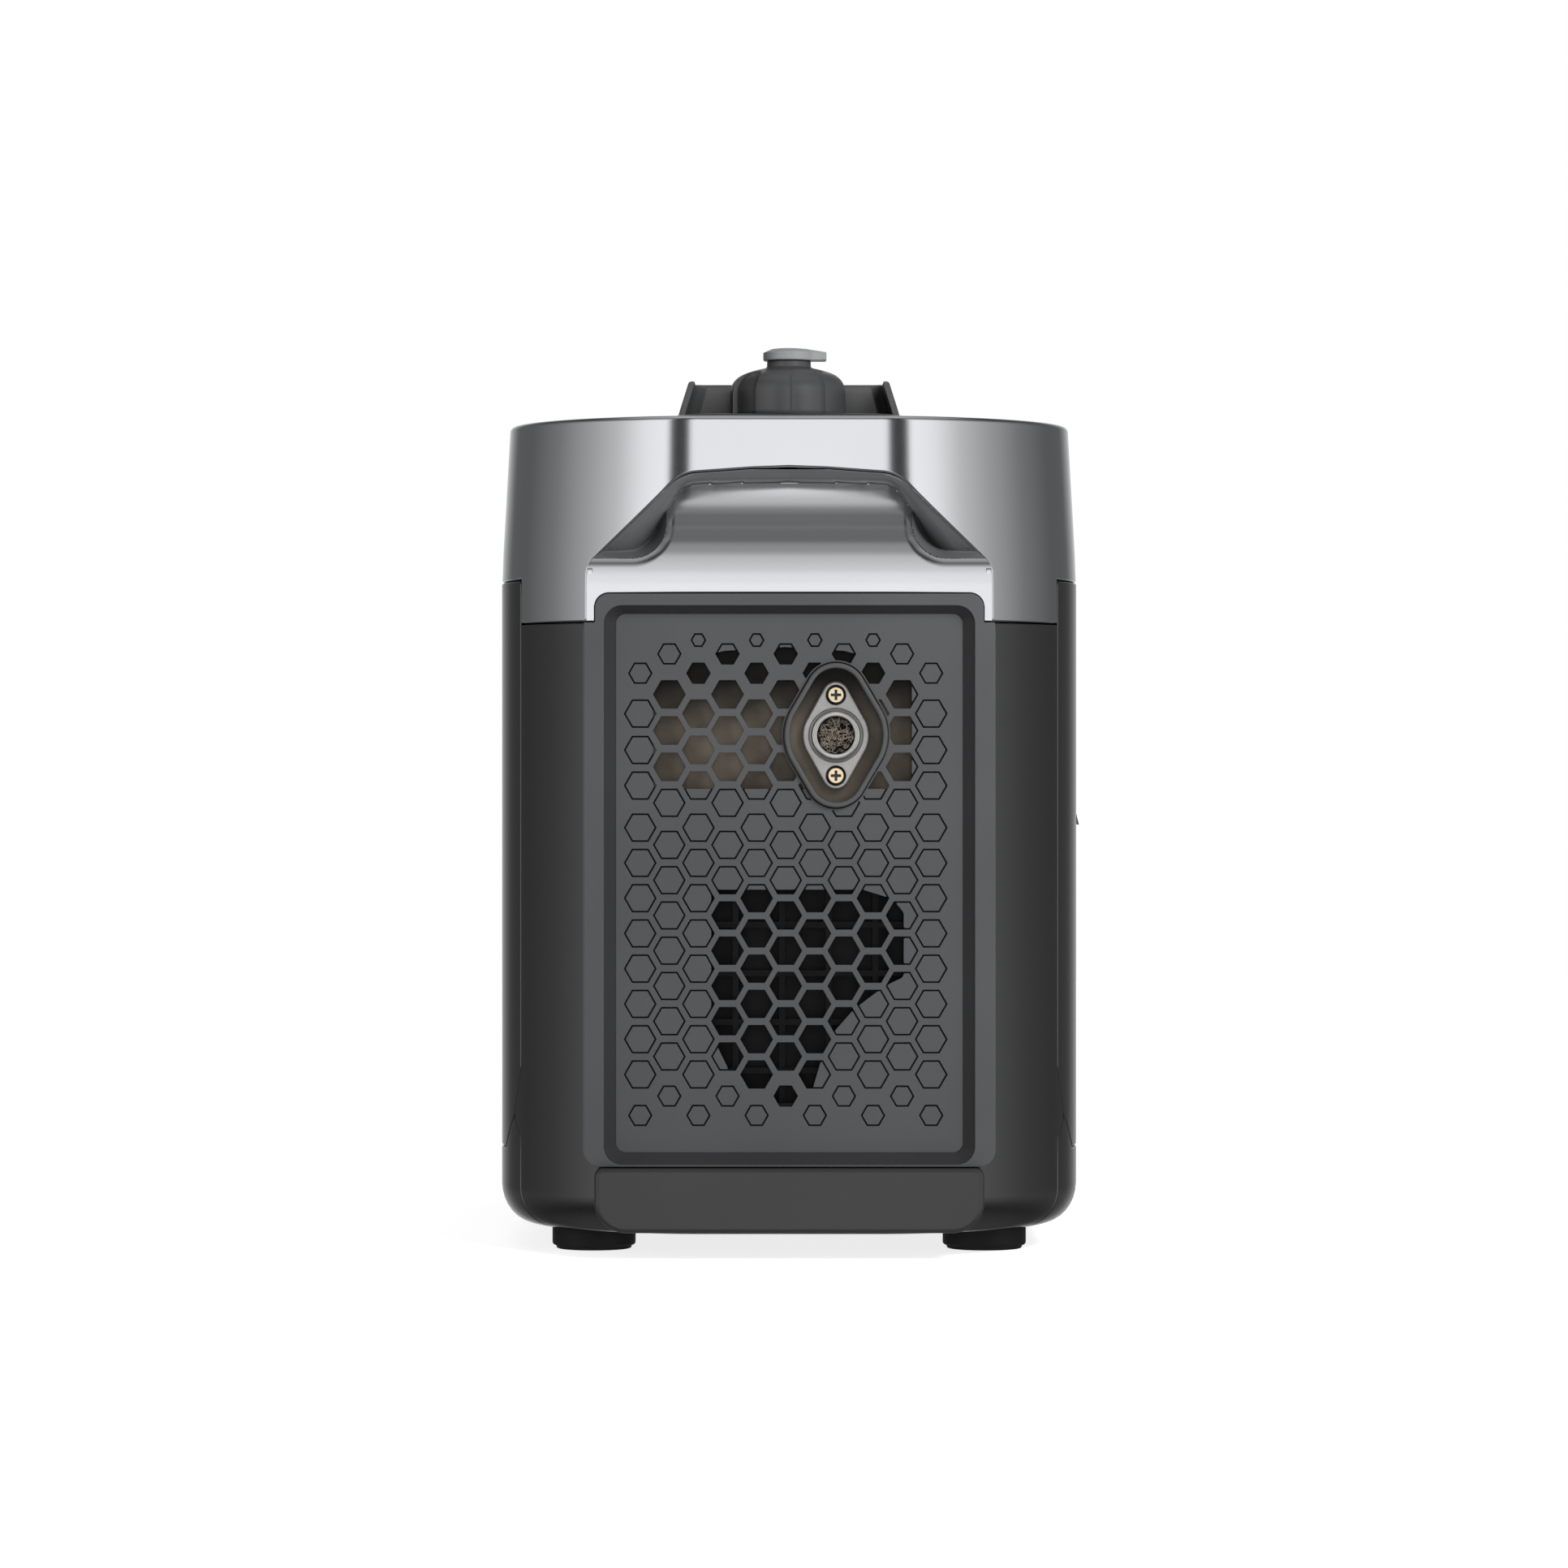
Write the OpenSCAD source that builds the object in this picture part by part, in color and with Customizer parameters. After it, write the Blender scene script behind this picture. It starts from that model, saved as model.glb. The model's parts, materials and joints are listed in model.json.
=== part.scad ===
// Portable inverter generator: moulded casing, four-stroke engine, alternator,
// inverter, fuel tank and controls. +Z up, the exhaust end faces -Y, the control
// side faces +X, and the origin lies under the middle of the casing at ground level.

/* [Casing] */
// Width of the casing across its side panels
body_w = 292; // [288:1:296]
// Length of the casing from end to end
body_l = 596; // [592:1:600]
// Height of the top housing above the ground
body_top = 415; // [413:1:418]
// Height of the underside above the ground
body_bottom = 12; // [10:1:14]
// Wall thickness of the moulded shells
wall = 3; // [2.5:0.5:3.5]
// Radius of the bowed corners in plan
corner_r = 117.4; // [112:0.2:120]

/* [Grilles] */
// Size across the flats of a full hexagon
hex_size = 13.9; // [12:0.1:14.1]
// Distance between neighbouring hexagon columns
hex_column_pitch = 14.3; // [14.2:0.1:15]
// Distance between hexagons in one column
hex_row_pitch = 17.3; // [17:0.1:17.6]

/* [Fuel cap] */
// Outer diameter of the fuel cap
cap_d = 59; // [57:1:60]
// Distance of the filler from the middle of the casing, towards the exhaust end
filler_offset = 63; // [55:1:70]

/* [Exhaust] */
// Distance of the tail pipe from the centre line
tail_x = 23; // [20:1:26]
// Height of the tail pipe above the ground
tail_z = 258; // [255:1:261]
// Inner diameter of the tail pipe outlet
tail_bore_d = 18.6; // [16:0.1:19]

/* [Hidden] */

nose_cut = 2.6;                              // depth of the flat cut off each bowed end
cx = body_w / 2 - corner_r;                  // centre of a bowed corner
cy = body_l / 2 + nose_cut - corner_r;
end_split = 234;                             // where the end shells meet the side panels
sill_z = 51;                                 // lower edge of the side panels
end_seam_z = 314;                            // lower edge of the top housing at the ends
side_seam_z = 336;                           // lower edge of the top housing at the sides
gap = 0.4;                                   // parting line between two shells
spine_w = 101.1;                             // half width of the flat centre of an end
rim_y = 293;                                 // distance of the grille rim from the middle
crank_z = 120;                               // height of the crankshaft
pulley_y = 185;                              // place of the recoil pulley along the crankshaft
pulley_r = 45;                               // radius at which the starter rope leaves
rope_d = 4;
panel_x = body_w / 2;                        // outer face of a side panel
smooth = 96;                                 // sides of a large circle
arc_steps = 14;                              // straight pieces in a lofted corner

exhaust_black = [0.13, 0.135, 0.14];
grille_grey = [0.30, 0.31, 0.32];
housing_grey = [0.62, 0.64, 0.65];
alloy = [0.72, 0.72, 0.70];
steel = [0.55, 0.53, 0.50];

// ---------- plan outline of the casing ----------

// True rounded prism of the plan outline, drawn in by inset
module bow_prism(h, inset = 0) {
    r = corner_r - inset;
    intersection() {
        union() {
            for (x = [-cx, cx], y = [-cy, cy])
                translate([x, y, 0]) cylinder(r = r, h = h, $fn = smooth);
            translate([-cx, -cy - r, 0]) cube([2 * cx, 2 * (cy + r), h]);
            translate([-cx - r, -cy, 0]) cube([2 * (cx + r), 2 * cy, h]);
        }
        translate([-body_w, -body_l / 2 + inset, -1]) cube([2 * body_w, body_l - 2 * inset, h + 2]);
    }
}

// Points of the plan outline drawn in by inset, at height z, counter-clockwise from +X
function quarter(inset) =
    let (r = corner_r - inset, last = asin((body_l / 2 - inset - cy) / r))
    [for (i = [0 : arc_steps]) [cx + r * cos(i * last / arc_steps), cy + r * sin(i * last / arc_steps)]];
function flip(list) = [for (i = [len(list) - 1 : -1 : 0]) list[i]];
function outline(z, inset) =
    let (q = quarter(inset))
    [for (p = concat(q, [for (p = flip(q)) [-p[0], p[1]]], [for (p = q) [-p[0], -p[1]]],
                     [for (p = flip(q)) [p[0], -p[1]]])) [p[0], p[1], z]];

// Solid through a stack of plan outlines; each level is [height, inset]
module loft(levels) {
    n = 4 * (arc_steps + 1);
    rows = len(levels) - 1;
    polyhedron(
        points = [for (l = levels) each outline(l[0], l[1])],
        faces = concat(
            [[for (i = [0 : n - 1]) i]],
            [for (k = [0 : rows - 1], i = [0 : n - 1]) let (j = (i + 1) % n, a = k * n)
                each [[a + i, a + n + i, a + n + j], [a + i, a + n + j, a + j]]],
            [[for (i = [n - 1 : -1 : 0]) rows * n + i]]));
}

// Casing with rounded lower edges, drawn in by inset
module lower_body(inset = 0) {
    low = body_bottom + inset;
    loft([[low, 17 + inset * 0.4], [low + 2, 10.5 + inset * 0.6], [low + 6, 5 + inset * 0.8],
          [low + 12, 1.6 + inset * 0.9], [low + 20, inset], [body_top, inset]]);
}

// Top of the casing with its draft and its rounded upper edge
module upper_body(inset = 0) {
    high = body_top - inset;
    loft([[300, inset], [side_seam_z, inset], [high - 5, 4.2 + inset], [high - 1.5, 5.2 + inset],
          [high, 8 + inset]]);
}

module block(low, high) {
    translate(low) cube(high - low);
}

// Round bar between two points that differ along one axis only
module bar_y(x, y0, y1, z, r) {
    translate([x, y0, z]) rotate([-90, 0, 0]) cylinder(r = r, h = y1 - y0, $fn = smooth);
}

module bar_x(x0, x1, y, z, r) {
    translate([x0, y, z]) rotate([0, 90, 0]) cylinder(r = r, h = x1 - x0, $fn = smooth);
}

// Extrudes a drawing made in X and Z along Y, from y0 to y1
module along_y(y0, y1) {
    translate([0, y1, 0]) rotate([90, 0, 0]) linear_extrude(y1 - y0) children();
}

// Extrudes a drawing made in Y and Z along X, from x0 to x1
module along_x(x0, x1) {
    translate([x0, 0, 0]) rotate([90, 0, 90]) linear_extrude(x1 - x0) children();
}

// Rounded rectangle between two corners, drawn in by inset
module framed_rect(low, high, inset, r) {
    rounded_rect(low[0] + inset, low[1] + inset, high[0] - inset, high[1] - inset, r);
}

module rounded_rect(x0, z0, x1, z1, r) {
    union() {
        for (x = [x0 + r, x1 - r], z = [z0 + r, z1 - r]) translate([x, z]) circle(r = r, $fn = 48);
        translate([x0 + r, z0]) square([x1 - x0 - 2 * r, z1 - z0]);
        translate([x0, z0 + r]) square([x1 - x0, z1 - z0 - 2 * r]);
    }
}

// Three circles in a column with straight tangents, as a two-bolt flange has
module lozenge(big_r, small_r, reach) {
    hull() {
        circle(r = big_r, $fn = 64);
        for (s = [-1, 1]) translate([0, s * reach]) circle(r = small_r, $fn = 32);
    }
}

// ---------- handles ----------

handle_top_z = 389;                          // lower edge of the carrying bar at its ends
handle_low_z = 343.5;                        // where the sloping sides of the opening start
handle_top_x = 50.7;
handle_low_x = 100;

// Outline of the opening in the top housing, in X and Z
module handle_outline(grow = 0) {
    offset(delta = grow) polygon([
        [-handle_low_x, 300], [-handle_low_x, handle_low_z], [-handle_top_x, handle_top_z],
        [-25, handle_top_z + 1], [25, handle_top_z + 1], [handle_top_x, handle_top_z],
        [handle_low_x, handle_low_z], [handle_low_x, 300]
    ]);
}

// Profile of the ramp under the fingers, in Y and Z, at the exhaust end
ramp = [[-293, 318], [-293, 328], [-291, 340], [-284, 350], [-272, 359], [-262, 368], [-258, 380],
        [-258, 410], [-250, 410], [-250, 318]];

// Hollow that a hand reaches into, at the exhaust end
module hand_space() {
    reveal = [[-73, 347], [-52.6, 375], [-46, 378.6], [0, 381.5], [46, 378.6], [52.6, 375], [73, 347]];
    difference() {
        union() {
            // sloping reveal from the edge of the opening inwards
            hull() {
                along_y(-302, -296) polygon([[-99.5, 344.5], [-50.7, 388], [50.7, 388], [99.5, 344.5]]);
                along_y(-273, -271) polygon(reveal);
            }
            along_y(-274, -257) polygon(reveal);
            block([-60, -280, 372], [60, -257.5, 403]);
        }
        along_x(-57, 57) polygon(ramp);
    }
}

module handle_scoop() {
    color(housing_grey) difference() {
        union() {
            intersection() {
                along_y(-299, -252) handle_outline(-gap);
                upper_body(1.6);
                block([-150, -310, 331], [150, -200, 500]);
            }
            block([-handle_low_x + gap, -293, 328], [handle_low_x - gap, -276, 343]);
            for (s = [-1, 1])
                block([s * 97.6 - 2, -293.2, end_seam_z + gap], [s * 97.6 + 2, -275.5, 332]);
            // underside and back of the carrying bar
            intersection() {
                block([-64, -310, 384], [64, -253.5, 408]);
                upper_body(wall + 0.3);
            }
        }
        hand_space();
        // cored out from behind
        block([-92, -281, 300], [92, -263, 340]);
        block([-54, -268, 300], [54, -261, 352]);
        block([-82, -267, 300], [82, -240, 342]);
    }
}

module exhaust_handle_scoop() handle_scoop();
module intake_handle_scoop() rotate([0, 0, 180]) handle_scoop();

// ---------- casing shells ----------

deck_hole_r = 33;

module top_housing() {
    color(housing_grey) difference() {
        upper_body();
        upper_body(wall);
        block([-200, -400, 200], [200, 400, end_seam_z]);
        block([-200, -end_split + gap / 2, 200], [200, end_split - gap / 2, side_seam_z]);
        for (a = [0, 180]) rotate([0, 0, a]) along_y(-320, -240) handle_outline();
        translate([0, -filler_offset, 400]) cylinder(r = deck_hole_r, h = 30, $fn = smooth);
    }
}

// Zigzag edge of an end shell, as the part of the Y-Z plane that it fills at the exhaust end
module end_shell_region() {
    polygon([[-330, 0], [-end_split, 0], [-end_split, 58], [-226, 68], [-end_split, 92],
             [-end_split, end_seam_z - gap], [-330, end_seam_z - gap]]);
}

chin_w = 95.7;
chin_top = 45.4;
chin_r = 22;

module chin(inset = 0) {
    along_y(-body_l / 2 + inset, -262)
        rounded_rect(-chin_w + inset, body_bottom + 1.6 + inset, chin_w - inset, 90, chin_r - inset);
}

module end_shell() {
    color(exhaust_black) difference() {
        intersection() {
            union() {
                difference() {
                    lower_body();
                    lower_body(wall);
                    block([-spine_w - gap, -310, chin_top], [spine_w + gap, -240, 330]);
                }
                difference() {
                    union() {
                        intersection() {
                            chin();
                            block([-120, -310, 0], [120, -262, chin_top]);
                        }
                        // returns beside the grille
                        for (x = [-spine_w - 1.9, spine_w + 1.9])
                            block([x - 1.5, -277, 40], [x + 1.5, -262, end_seam_z - gap]);
                    }
                    intersection() {
                        chin(wall);
                        block([-120, -310, 0], [120, -262, chin_top - wall]);
                    }
                }
            }
            along_x(-200, 200) end_shell_region();
        }
        // clear of the inside behind the chin
        block([-88, -280, 20], [88, -260, chin_top - wall]);
    }
}

module exhaust_end_shell() end_shell();
module intake_end_shell() rotate([0, 0, 180]) end_shell();

// Side panel wall between the end shells, with its lower corners cut on the slant
module side_wall_region() {
    polygon([[-end_split + gap, side_seam_z - gap], [-end_split + gap, 92], [-226 + gap, 68],
             [-210, sill_z + gap], [210, sill_z + gap], [226 - gap, 68], [end_split - gap, 92],
             [end_split - gap, side_seam_z - gap]]);
}

module side_wall() {
    intersection() {
        difference() {
            bow_prism(400);
            translate([0, 0, -1]) bow_prism(402, wall);
        }
        along_x(0, 200) side_wall_region();
    }
}

control_low = [-152, 162];
control_high = [62, 322];
recoil_low = [162, 110];
recoil_high = [208, 220];

module control_side_panel() {
    color(exhaust_black) difference() {
        side_wall();
        along_x(100, 200) framed_rect(control_low, control_high, 0, 10);
        along_x(100, 200) framed_rect(recoil_low, recoil_high, 0, 12);
    }
}

service_low = [-142, 122];
service_high = [112, 312];
hatch_low = [-72, 57];
hatch_high = [12, 99];
latch_y = -15;
latch_z = 290;
latch_r = 11;

module service_side_panel() {
    color(exhaust_black) difference() {
        mirror([1, 0, 0]) side_wall();
        along_x(-200, -100) framed_rect(service_low, service_high, 0, 12);
        along_x(-200, -100) framed_rect(hatch_low, hatch_high, 0, 1.4);
    }
}

// Lift-off cover over the air filter and the spark plug, with louvre grooves
module service_cover() {
    color(exhaust_black) difference() {
        along_x(-panel_x, -panel_x + wall) framed_rect(service_low, service_high, gap, 11.6);
        bar_x(-panel_x - 1, -panel_x + 10, latch_y, latch_z, latch_r + 0.08);
        for (i = [0 : 7]) block([-panel_x - 1, -100 + i * 14, 150], [-panel_x + 1.2, -94 + i * 14, 230]);
    }
}

// Quarter-turn knob of the service cover, with a coin slot
module service_knob() {
    color([0.10, 0.10, 0.105]) difference() {
        union() {
            bar_x(-panel_x + 0.3, -panel_x + wall, latch_y, latch_z, latch_r);
            bar_x(-panel_x + wall - 0.1, -panel_x + 9, latch_y, latch_z, 5);
        }
        block([-panel_x - 1, latch_y - 9, latch_z - 1.3], [-panel_x + 1.8, latch_y + 9, latch_z + 1.3]);
    }
}

// Hatch over the oil filler, hinged along its lower edge
module oil_hatch() {
    color(exhaust_black) union() {
        along_x(-panel_x, -panel_x + 2.5)
            framed_rect([hatch_low[0], hatch_low[1] + 2 * gap], hatch_high, gap, 1);
        bar_y(-panel_x + 1.6, hatch_low[0] + 14, hatch_high[0] - 14, hatch_low[1] + 2.6, 1.6);
        // finger lip along the top edge
        along_y(hatch_low[0] + 12, hatch_high[0] - 12) polygon([
            [-panel_x + 0.5, 79], [-panel_x, 79], [-panel_x - 1.6, 97.5], [-panel_x + 0.5, 97.5]]);
    }
}

module base_tray() {
    color(exhaust_black) union() {
        intersection() {
            difference() {
                lower_body();
                lower_body(wall);
            }
            along_x(-200, 200) polygon([
                [-end_split + gap, 0], [-end_split + gap, 57.6], [-226 + gap, 67.6], [-210, sill_z - gap],
                [210, sill_z - gap], [226 - gap, 67.6], [end_split - gap, 57.6], [end_split - gap, 0]]);
        }
    }
}

foot_x = 98.4;
foot_y = 211;
foot_d = 42;
feet = [for (x = [-foot_x, foot_x], y = [-foot_y, foot_y]) [x, y]];

module rubber_feet() {
    color([0.03, 0.03, 0.03]) for (p = feet) translate([p[0], p[1], 0]) difference() {
        union() {
            cylinder(d1 = foot_d - 3, d2 = foot_d, h = 1.5, $fn = smooth);
            translate([0, 0, 1.5]) cylinder(d = foot_d, h = body_bottom - 1.5, $fn = smooth);
        }
        translate([0, 0, -1]) cylinder(d = 16, h = 6, $fn = 48);
        translate([0, 0, -1]) cylinder(d = 6.2, h = 30, $fn = 48);
    }
}

module foot_screws() {
    color(steel) for (p = feet) translate([p[0], p[1], 0]) {
        translate([0, 0, 5]) difference() {
            translate([0, 0, -2.5]) cylinder(d = 12, h = 2.5, $fn = 48);
            translate([0, 0, -3]) cylinder(d = 5.6, h = 2, $fn = 6);
        }
        translate([0, 0, 4.5]) cylinder(d = 6, h = body_bottom - 4.5, $fn = 48);
    }
}

// ---------- hexagon grilles ----------

grille_front = 287;                          // distance of the hexagon face from the middle
pocket = 2.5;                                // depth of a blind hexagon
window_x = 85.4;
window_low = 52.6;
window_high = 317.8;

// Each row is [height, size across flats, first column, column step]
lower_rows = [for (i = [0 : 7]) each [
    [212.5 - i * hex_row_pitch, hex_size, -5, 2],
    [i < 7 ? 204.0 - i * hex_row_pitch : 0, hex_size, -4, 2]]];
upper_rows = [
    [304.8, 6.7, -3, 2], [298.0, 10.4, -4, 2], [288.5, 10.4, -5, 2], [278.1, hex_size, -4, 2],
    [268.6, hex_size, -5, 2], [260.3, hex_size, -4, 2], [250.7, hex_size, -5, 2], [242.4, hex_size, -4, 2],
    [233.2, hex_size, -5, 2], [224.7, hex_size, -4, 2]];
foot_rows = [[80.4, 10.4, -4, 2], [70.9, 10.4, -5, 2]];
hex_rows = concat(upper_rows, [for (r = lower_rows) if (r[0] > 0) r], foot_rows);

module hexagons() {
    for (r = hex_rows, c = [r[2] : r[3] : -r[2]])
        translate([c * hex_column_pitch - 1.8, r[0]]) circle(r = r[1] / sqrt(3), $fn = 6);
}

module muffler_window() {
    polygon([[-67, 231.6], [-67, 288], [-52, 294.5], [-32, 299.5], [-2, 301.4], [27, 299.5],
             [47, 294.5], [60.3, 288], [60.3, 231.6]]);
}

module engine_window() {
    polygon([[-38.4, 182], [36, 182], [50.7, 177.5], [56.3, 170.7], [56.3, 139], [46.8, 134.5], [31.6, 123],
             [22.1, 112.2], [15.7, 98.3], [11.5, 84], [9, 74.5], [-22, 74.5], [-28.8, 91.2], [-38.4, 111]]);
}

module intake_window() {
    rounded_rect(-66, 96, 63, 290, 18);
}

module grille_outline() {
    polygon([
        [-spine_w, 52], [-spine_w + 5, 45.8], [spine_w - 5, 45.8], [spine_w, 52], [spine_w, 313.4],
        [95.6, 313.4], [94.5, 318], [91.5, 324.5], [84.5, 327.6], [-84.5, 327.6], [-91.5, 324.5],
        [-94.5, 318], [-95.6, 313.4], [-spine_w, 313.4]]);
}

module grille(through) {
    rim_front = -rim_y;
    face = -grille_front;
    color(grille_grey) difference() {
        union() {
            along_y(rim_front, face) grille_outline();
            along_y(face, face + 2 * pocket) grille_outline();
            along_y(face, -272) difference() {
                grille_outline();
                rounded_rect(-spine_w + 3, 49, spine_w - 3, 321, 6);
            }
        }
        // sloping walls down to the hexagon face
        hull() {
            along_y(rim_front - 0.2, rim_front) rounded_rect(-91.1, 46.6, 91.1, 321.7, 9);
            along_y(face - 0.01, face) rounded_rect(-window_x, window_low, window_x, window_high, 5);
        }
        along_y(face - 1, face + pocket) hexagons();
        along_y(face + pocket - 0.5, face + 2 * pocket + 1) through_shape(through);
        if (through == "exhaust")
            along_y(-310, -260) translate([tail_x, tail_z]) lozenge(25.9, 15.6, 20.4);
    }
}

module through_shape(through) {
    if (through == "exhaust") {
        muffler_window();
        engine_window();
    } else {
        intake_window();
    }
}

module exhaust_grille() grille("exhaust");
module intake_grille() rotate([0, 0, 180]) grille("intake");

// ---------- exhaust ----------

bezel_y = -289.5;
flange_y = -280;
flange_t = 4;
flange_reach = 19.9;
wool_r = 10;

module tail_pipe_bezel() {
    color(grille_grey) difference() {
        along_y(bezel_y, -276.5) translate([tail_x, tail_z]) lozenge(25.5, 15.2, 20.4);
        along_y(bezel_y - 1, -270) translate([tail_x, tail_z]) lozenge(23, 12.7, 20.4);
    }
}

module tail_pipe_flange() {
    color(alloy) difference() {
        union() {
            along_y(flange_y, flange_y + flange_t)
                translate([tail_x, tail_z]) lozenge(16.6, 6.9, flange_reach);
            bar_y(tail_x, flange_y - 3, flange_y + 1, tail_z, 13.9);
            bar_y(tail_x, flange_y - 6, flange_y + 9, tail_z, 12.4);
        }
        bar_y(tail_x, flange_y - 10, flange_y + 20, tail_z, tail_bore_d / 2);
        bar_y(tail_x, flange_y + 6, flange_y + 20, tail_z, wool_r + 0.05);
        for (s = [-1, 1]) bar_y(tail_x, flange_y - 1, flange_y + 10, tail_z + s * flange_reach, 3.1);
    }
}

module tail_pipe_screws() {
    color([0.80, 0.74, 0.62]) for (s = [-1, 1]) difference() {
        union() {
            bar_y(tail_x, flange_y - 3, flange_y, tail_z + s * flange_reach, 4.8);
            bar_y(tail_x, flange_y - 0.5, flange_y + 8.8, tail_z + s * flange_reach, 3);
        }
        for (w = [[3.1, 0.75], [0.75, 3.1]])
            block([tail_x - w[0], flange_y - 4, tail_z + s * flange_reach - w[1]],
                  [tail_x + w[0], flange_y - 1.4, tail_z + s * flange_reach + w[1]]);
    }
}

module spark_arrester_wool() {
    color([0.2, 0.19, 0.18]) bar_y(tail_x, flange_y + 6.1, flange_y + 8.9, tail_z, wool_r);
}

muffler_low = [-72, -271, 222];
muffler_high = [66, -192, 308];

module muffler() {
    color(steel) difference() {
        union() {
            along_y(muffler_low[1], muffler_high[1])
                rounded_rect(muffler_low[0], muffler_low[2], muffler_high[0], muffler_high[2], 22);
            // rolled seams
            for (y = [-262, -203])
                along_y(y, y + 3) rounded_rect(muffler_low[0] - 2.5, muffler_low[2] - 2.5,
                                               muffler_high[0] + 2.5, muffler_high[2] + 2.5, 24);
        }
        along_y(muffler_low[1] + 2, muffler_high[1] - 2)
            rounded_rect(muffler_low[0] + 2, muffler_low[2] + 2,
                         muffler_high[0] - 2, muffler_high[2] - 2, 20);
    }
}

module muffler_heat_shield() {
    color([0.42, 0.38, 0.34]) difference() {
        union() {
            block([-78, -275.5, 214], [72, -274, 312]);
            for (x = [-58, -30, -15, 52]) along_y(-275, -272.8) translate([x, 0]) square([3, 200]);
        }
        block([-100, -290, 0], [100, -260, 214]);
        block([-100, -290, 312], [100, -260, 400]);
        bar_y(tail_x, -290, -260, tail_z, 14.5);
        for (s = [-1, 1]) bar_y(tail_x, -290, -260, tail_z + s * flange_reach, 4);
    }
}

module exhaust_header() {
    color(steel) union() {
        bar_y(0, muffler_high[1] + 0.2, -44, 248, 11);
        along_y(-46, -41.2) translate([0, 248]) rotate(90) lozenge(15, 6, 18);
    }
}

// Dark moulded lattice that guards the cooling air outlet of the engine
module engine_duct_lattice() {
    color([0.05, 0.05, 0.055]) difference() {
        block([-52, -276, 66], [68, -266, 192]);
        for (i = [0 : 4], k = [0 : 4])
            block([-48 + i * 23, -300, 70 + k * 24], [-28 + i * 23, -268.5 + (i + k) % 2, 91 + k * 24]);
        block([-49, -274, 68], [65, -272, 190]);
    }
}

// ---------- fuel system ----------

guard_top = 446;
boss_top = 427;

// Thin slice of a drawing made in X and Y, at height z, as an end of a hull
module sheet(z) {
    translate([0, 0, z]) linear_extrude(0.01) children();
}

module filler_surround() {
    color([0.10, 0.10, 0.105]) translate([0, -filler_offset, 0]) difference() {
        union() {
            // raised boss, and the skirt that drops through the hole in the housing
            hull() {
                sheet(body_top) rounded_rect(-66, -58, 66, 56, 26);
                sheet(boss_top) rounded_rect(-60, -50, 60, 50, 22);
            }
            translate([0, 0, 408]) cylinder(r = deck_hole_r - gap, h = 12, $fn = smooth);
            // guard wall, open towards the exhaust end
            difference() {
                hull() {
                    sheet(boss_top - 1) rounded_rect(-58.3, -34, 58.3, 46, 20);
                    sheet(guard_top) rounded_rect(-52.7, -22, 52.7, 41, 18);
                }
                hull() {
                    sheet(boss_top) rounded_rect(-54.8, -60, 54.8, 42.4, 17);
                    sheet(guard_top + 1) rounded_rect(-49.2, -60, 49.2, 37.4, 15);
                }
            }
        }
        translate([0, 0, 400]) cylinder(r = 30.2, h = 60, $fn = smooth);
    }
}

tank_low = [-100, -165, 322];
tank_high = [100, 150, 400];
neck_r = 25;
neck_top = 432;

module fuel_tank() {
    color([0.12, 0.12, 0.12]) difference() {
        union() {
            along_y(tank_low[1], tank_high[1])
                rounded_rect(tank_low[0], tank_low[2], tank_high[0], tank_high[2], 22);
            block([-112, -175, 358], [112, 160, 361]);
            translate([0, -filler_offset, 395]) cylinder(r = neck_r, h = neck_top - 395, $fn = smooth);
        }
        along_y(tank_low[1] + 3, tank_high[1] - 3)
            rounded_rect(tank_low[0] + 3, tank_low[2] + 3, tank_high[0] - 3, tank_high[2] - 3, 19);
        translate([0, -filler_offset, 380]) cylinder(r = neck_r - 3, h = 80, $fn = smooth);
    }
}

module cap_gasket() {
    color([0.05, 0.05, 0.05]) translate([0, -filler_offset, neck_top]) difference() {
        cylinder(r = neck_r - 0.5, h = 2, $fn = smooth);
        translate([0, 0, -1]) cylinder(r = neck_r - 4.5, h = 4, $fn = smooth);
    }
}

cap_base = boss_top + 1;
cap_shoulder = 444;
cap_flutes = 5;

module fuel_cap() {
    color([0.11, 0.115, 0.12]) translate([0, -filler_offset, 0]) difference() {
        union() {
            rotate_extrude($fn = smooth) polygon([
                [0, 434.2], [26, 434.2], [26, cap_base], [cap_d / 2, cap_base],
                [cap_d / 2, cap_shoulder - 1],
                [cap_d / 2 - 1.6, cap_shoulder + 2.2], [cap_d / 2 - 5, cap_shoulder + 4.2], [19, 451.4],
                [12.8, 453.6], [11.6, 454.5], [11.6, 457.4], [0, 457.4]]);
            // plug that goes down into the neck
            difference() {
                translate([0, 0, 424]) cylinder(r = 19.8, h = 11, $fn = smooth);
                translate([0, 0, 423]) cylinder(r = 17.5, h = 9, $fn = smooth);
            }
        }
        // finger flutes
        for (i = [0 : cap_flutes - 1]) rotate(-71 + i * 360 / cap_flutes)
            translate([cap_d / 2 + 6.4, 0, 400]) cylinder(r = 8.2, h = 48.4, $fn = 48);
    }
}

module vent_lever() {
    color([0.52, 0.54, 0.55]) translate([0, -filler_offset, 457.5]) difference() {
        union() {
            cylinder(r = 13.7, h = 4.6, $fn = smooth);
            translate([0, 0, 4.6]) cylinder(r1 = 13.7, r2 = 9, h = 1.9, $fn = smooth);
            translate([0, -6, 0]) cube([19.8, 12, 4.9]);
        }
        translate([-2.3, -20, -1]) cube([4.6, 12, 2.8]);
    }
}

module petcock() {
    color(alloy) union() {
        translate([-64, -20, 303]) cylinder(r = 8, h = tank_low[2] - 303 - 0.2, $fn = 48);
        bar_x(-80, -64, -20, 311, 5);
    }
}

module fuel_hose() {
    color([0.05, 0.05, 0.05]) difference() {
        translate([-64, -20, 263.2]) cylinder(r = 5, h = 39.6, $fn = 48);
        translate([-64, -20, 262]) cylinder(r = 2.5, h = 50, $fn = 48);
    }
}

// ---------- engine ----------

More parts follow.
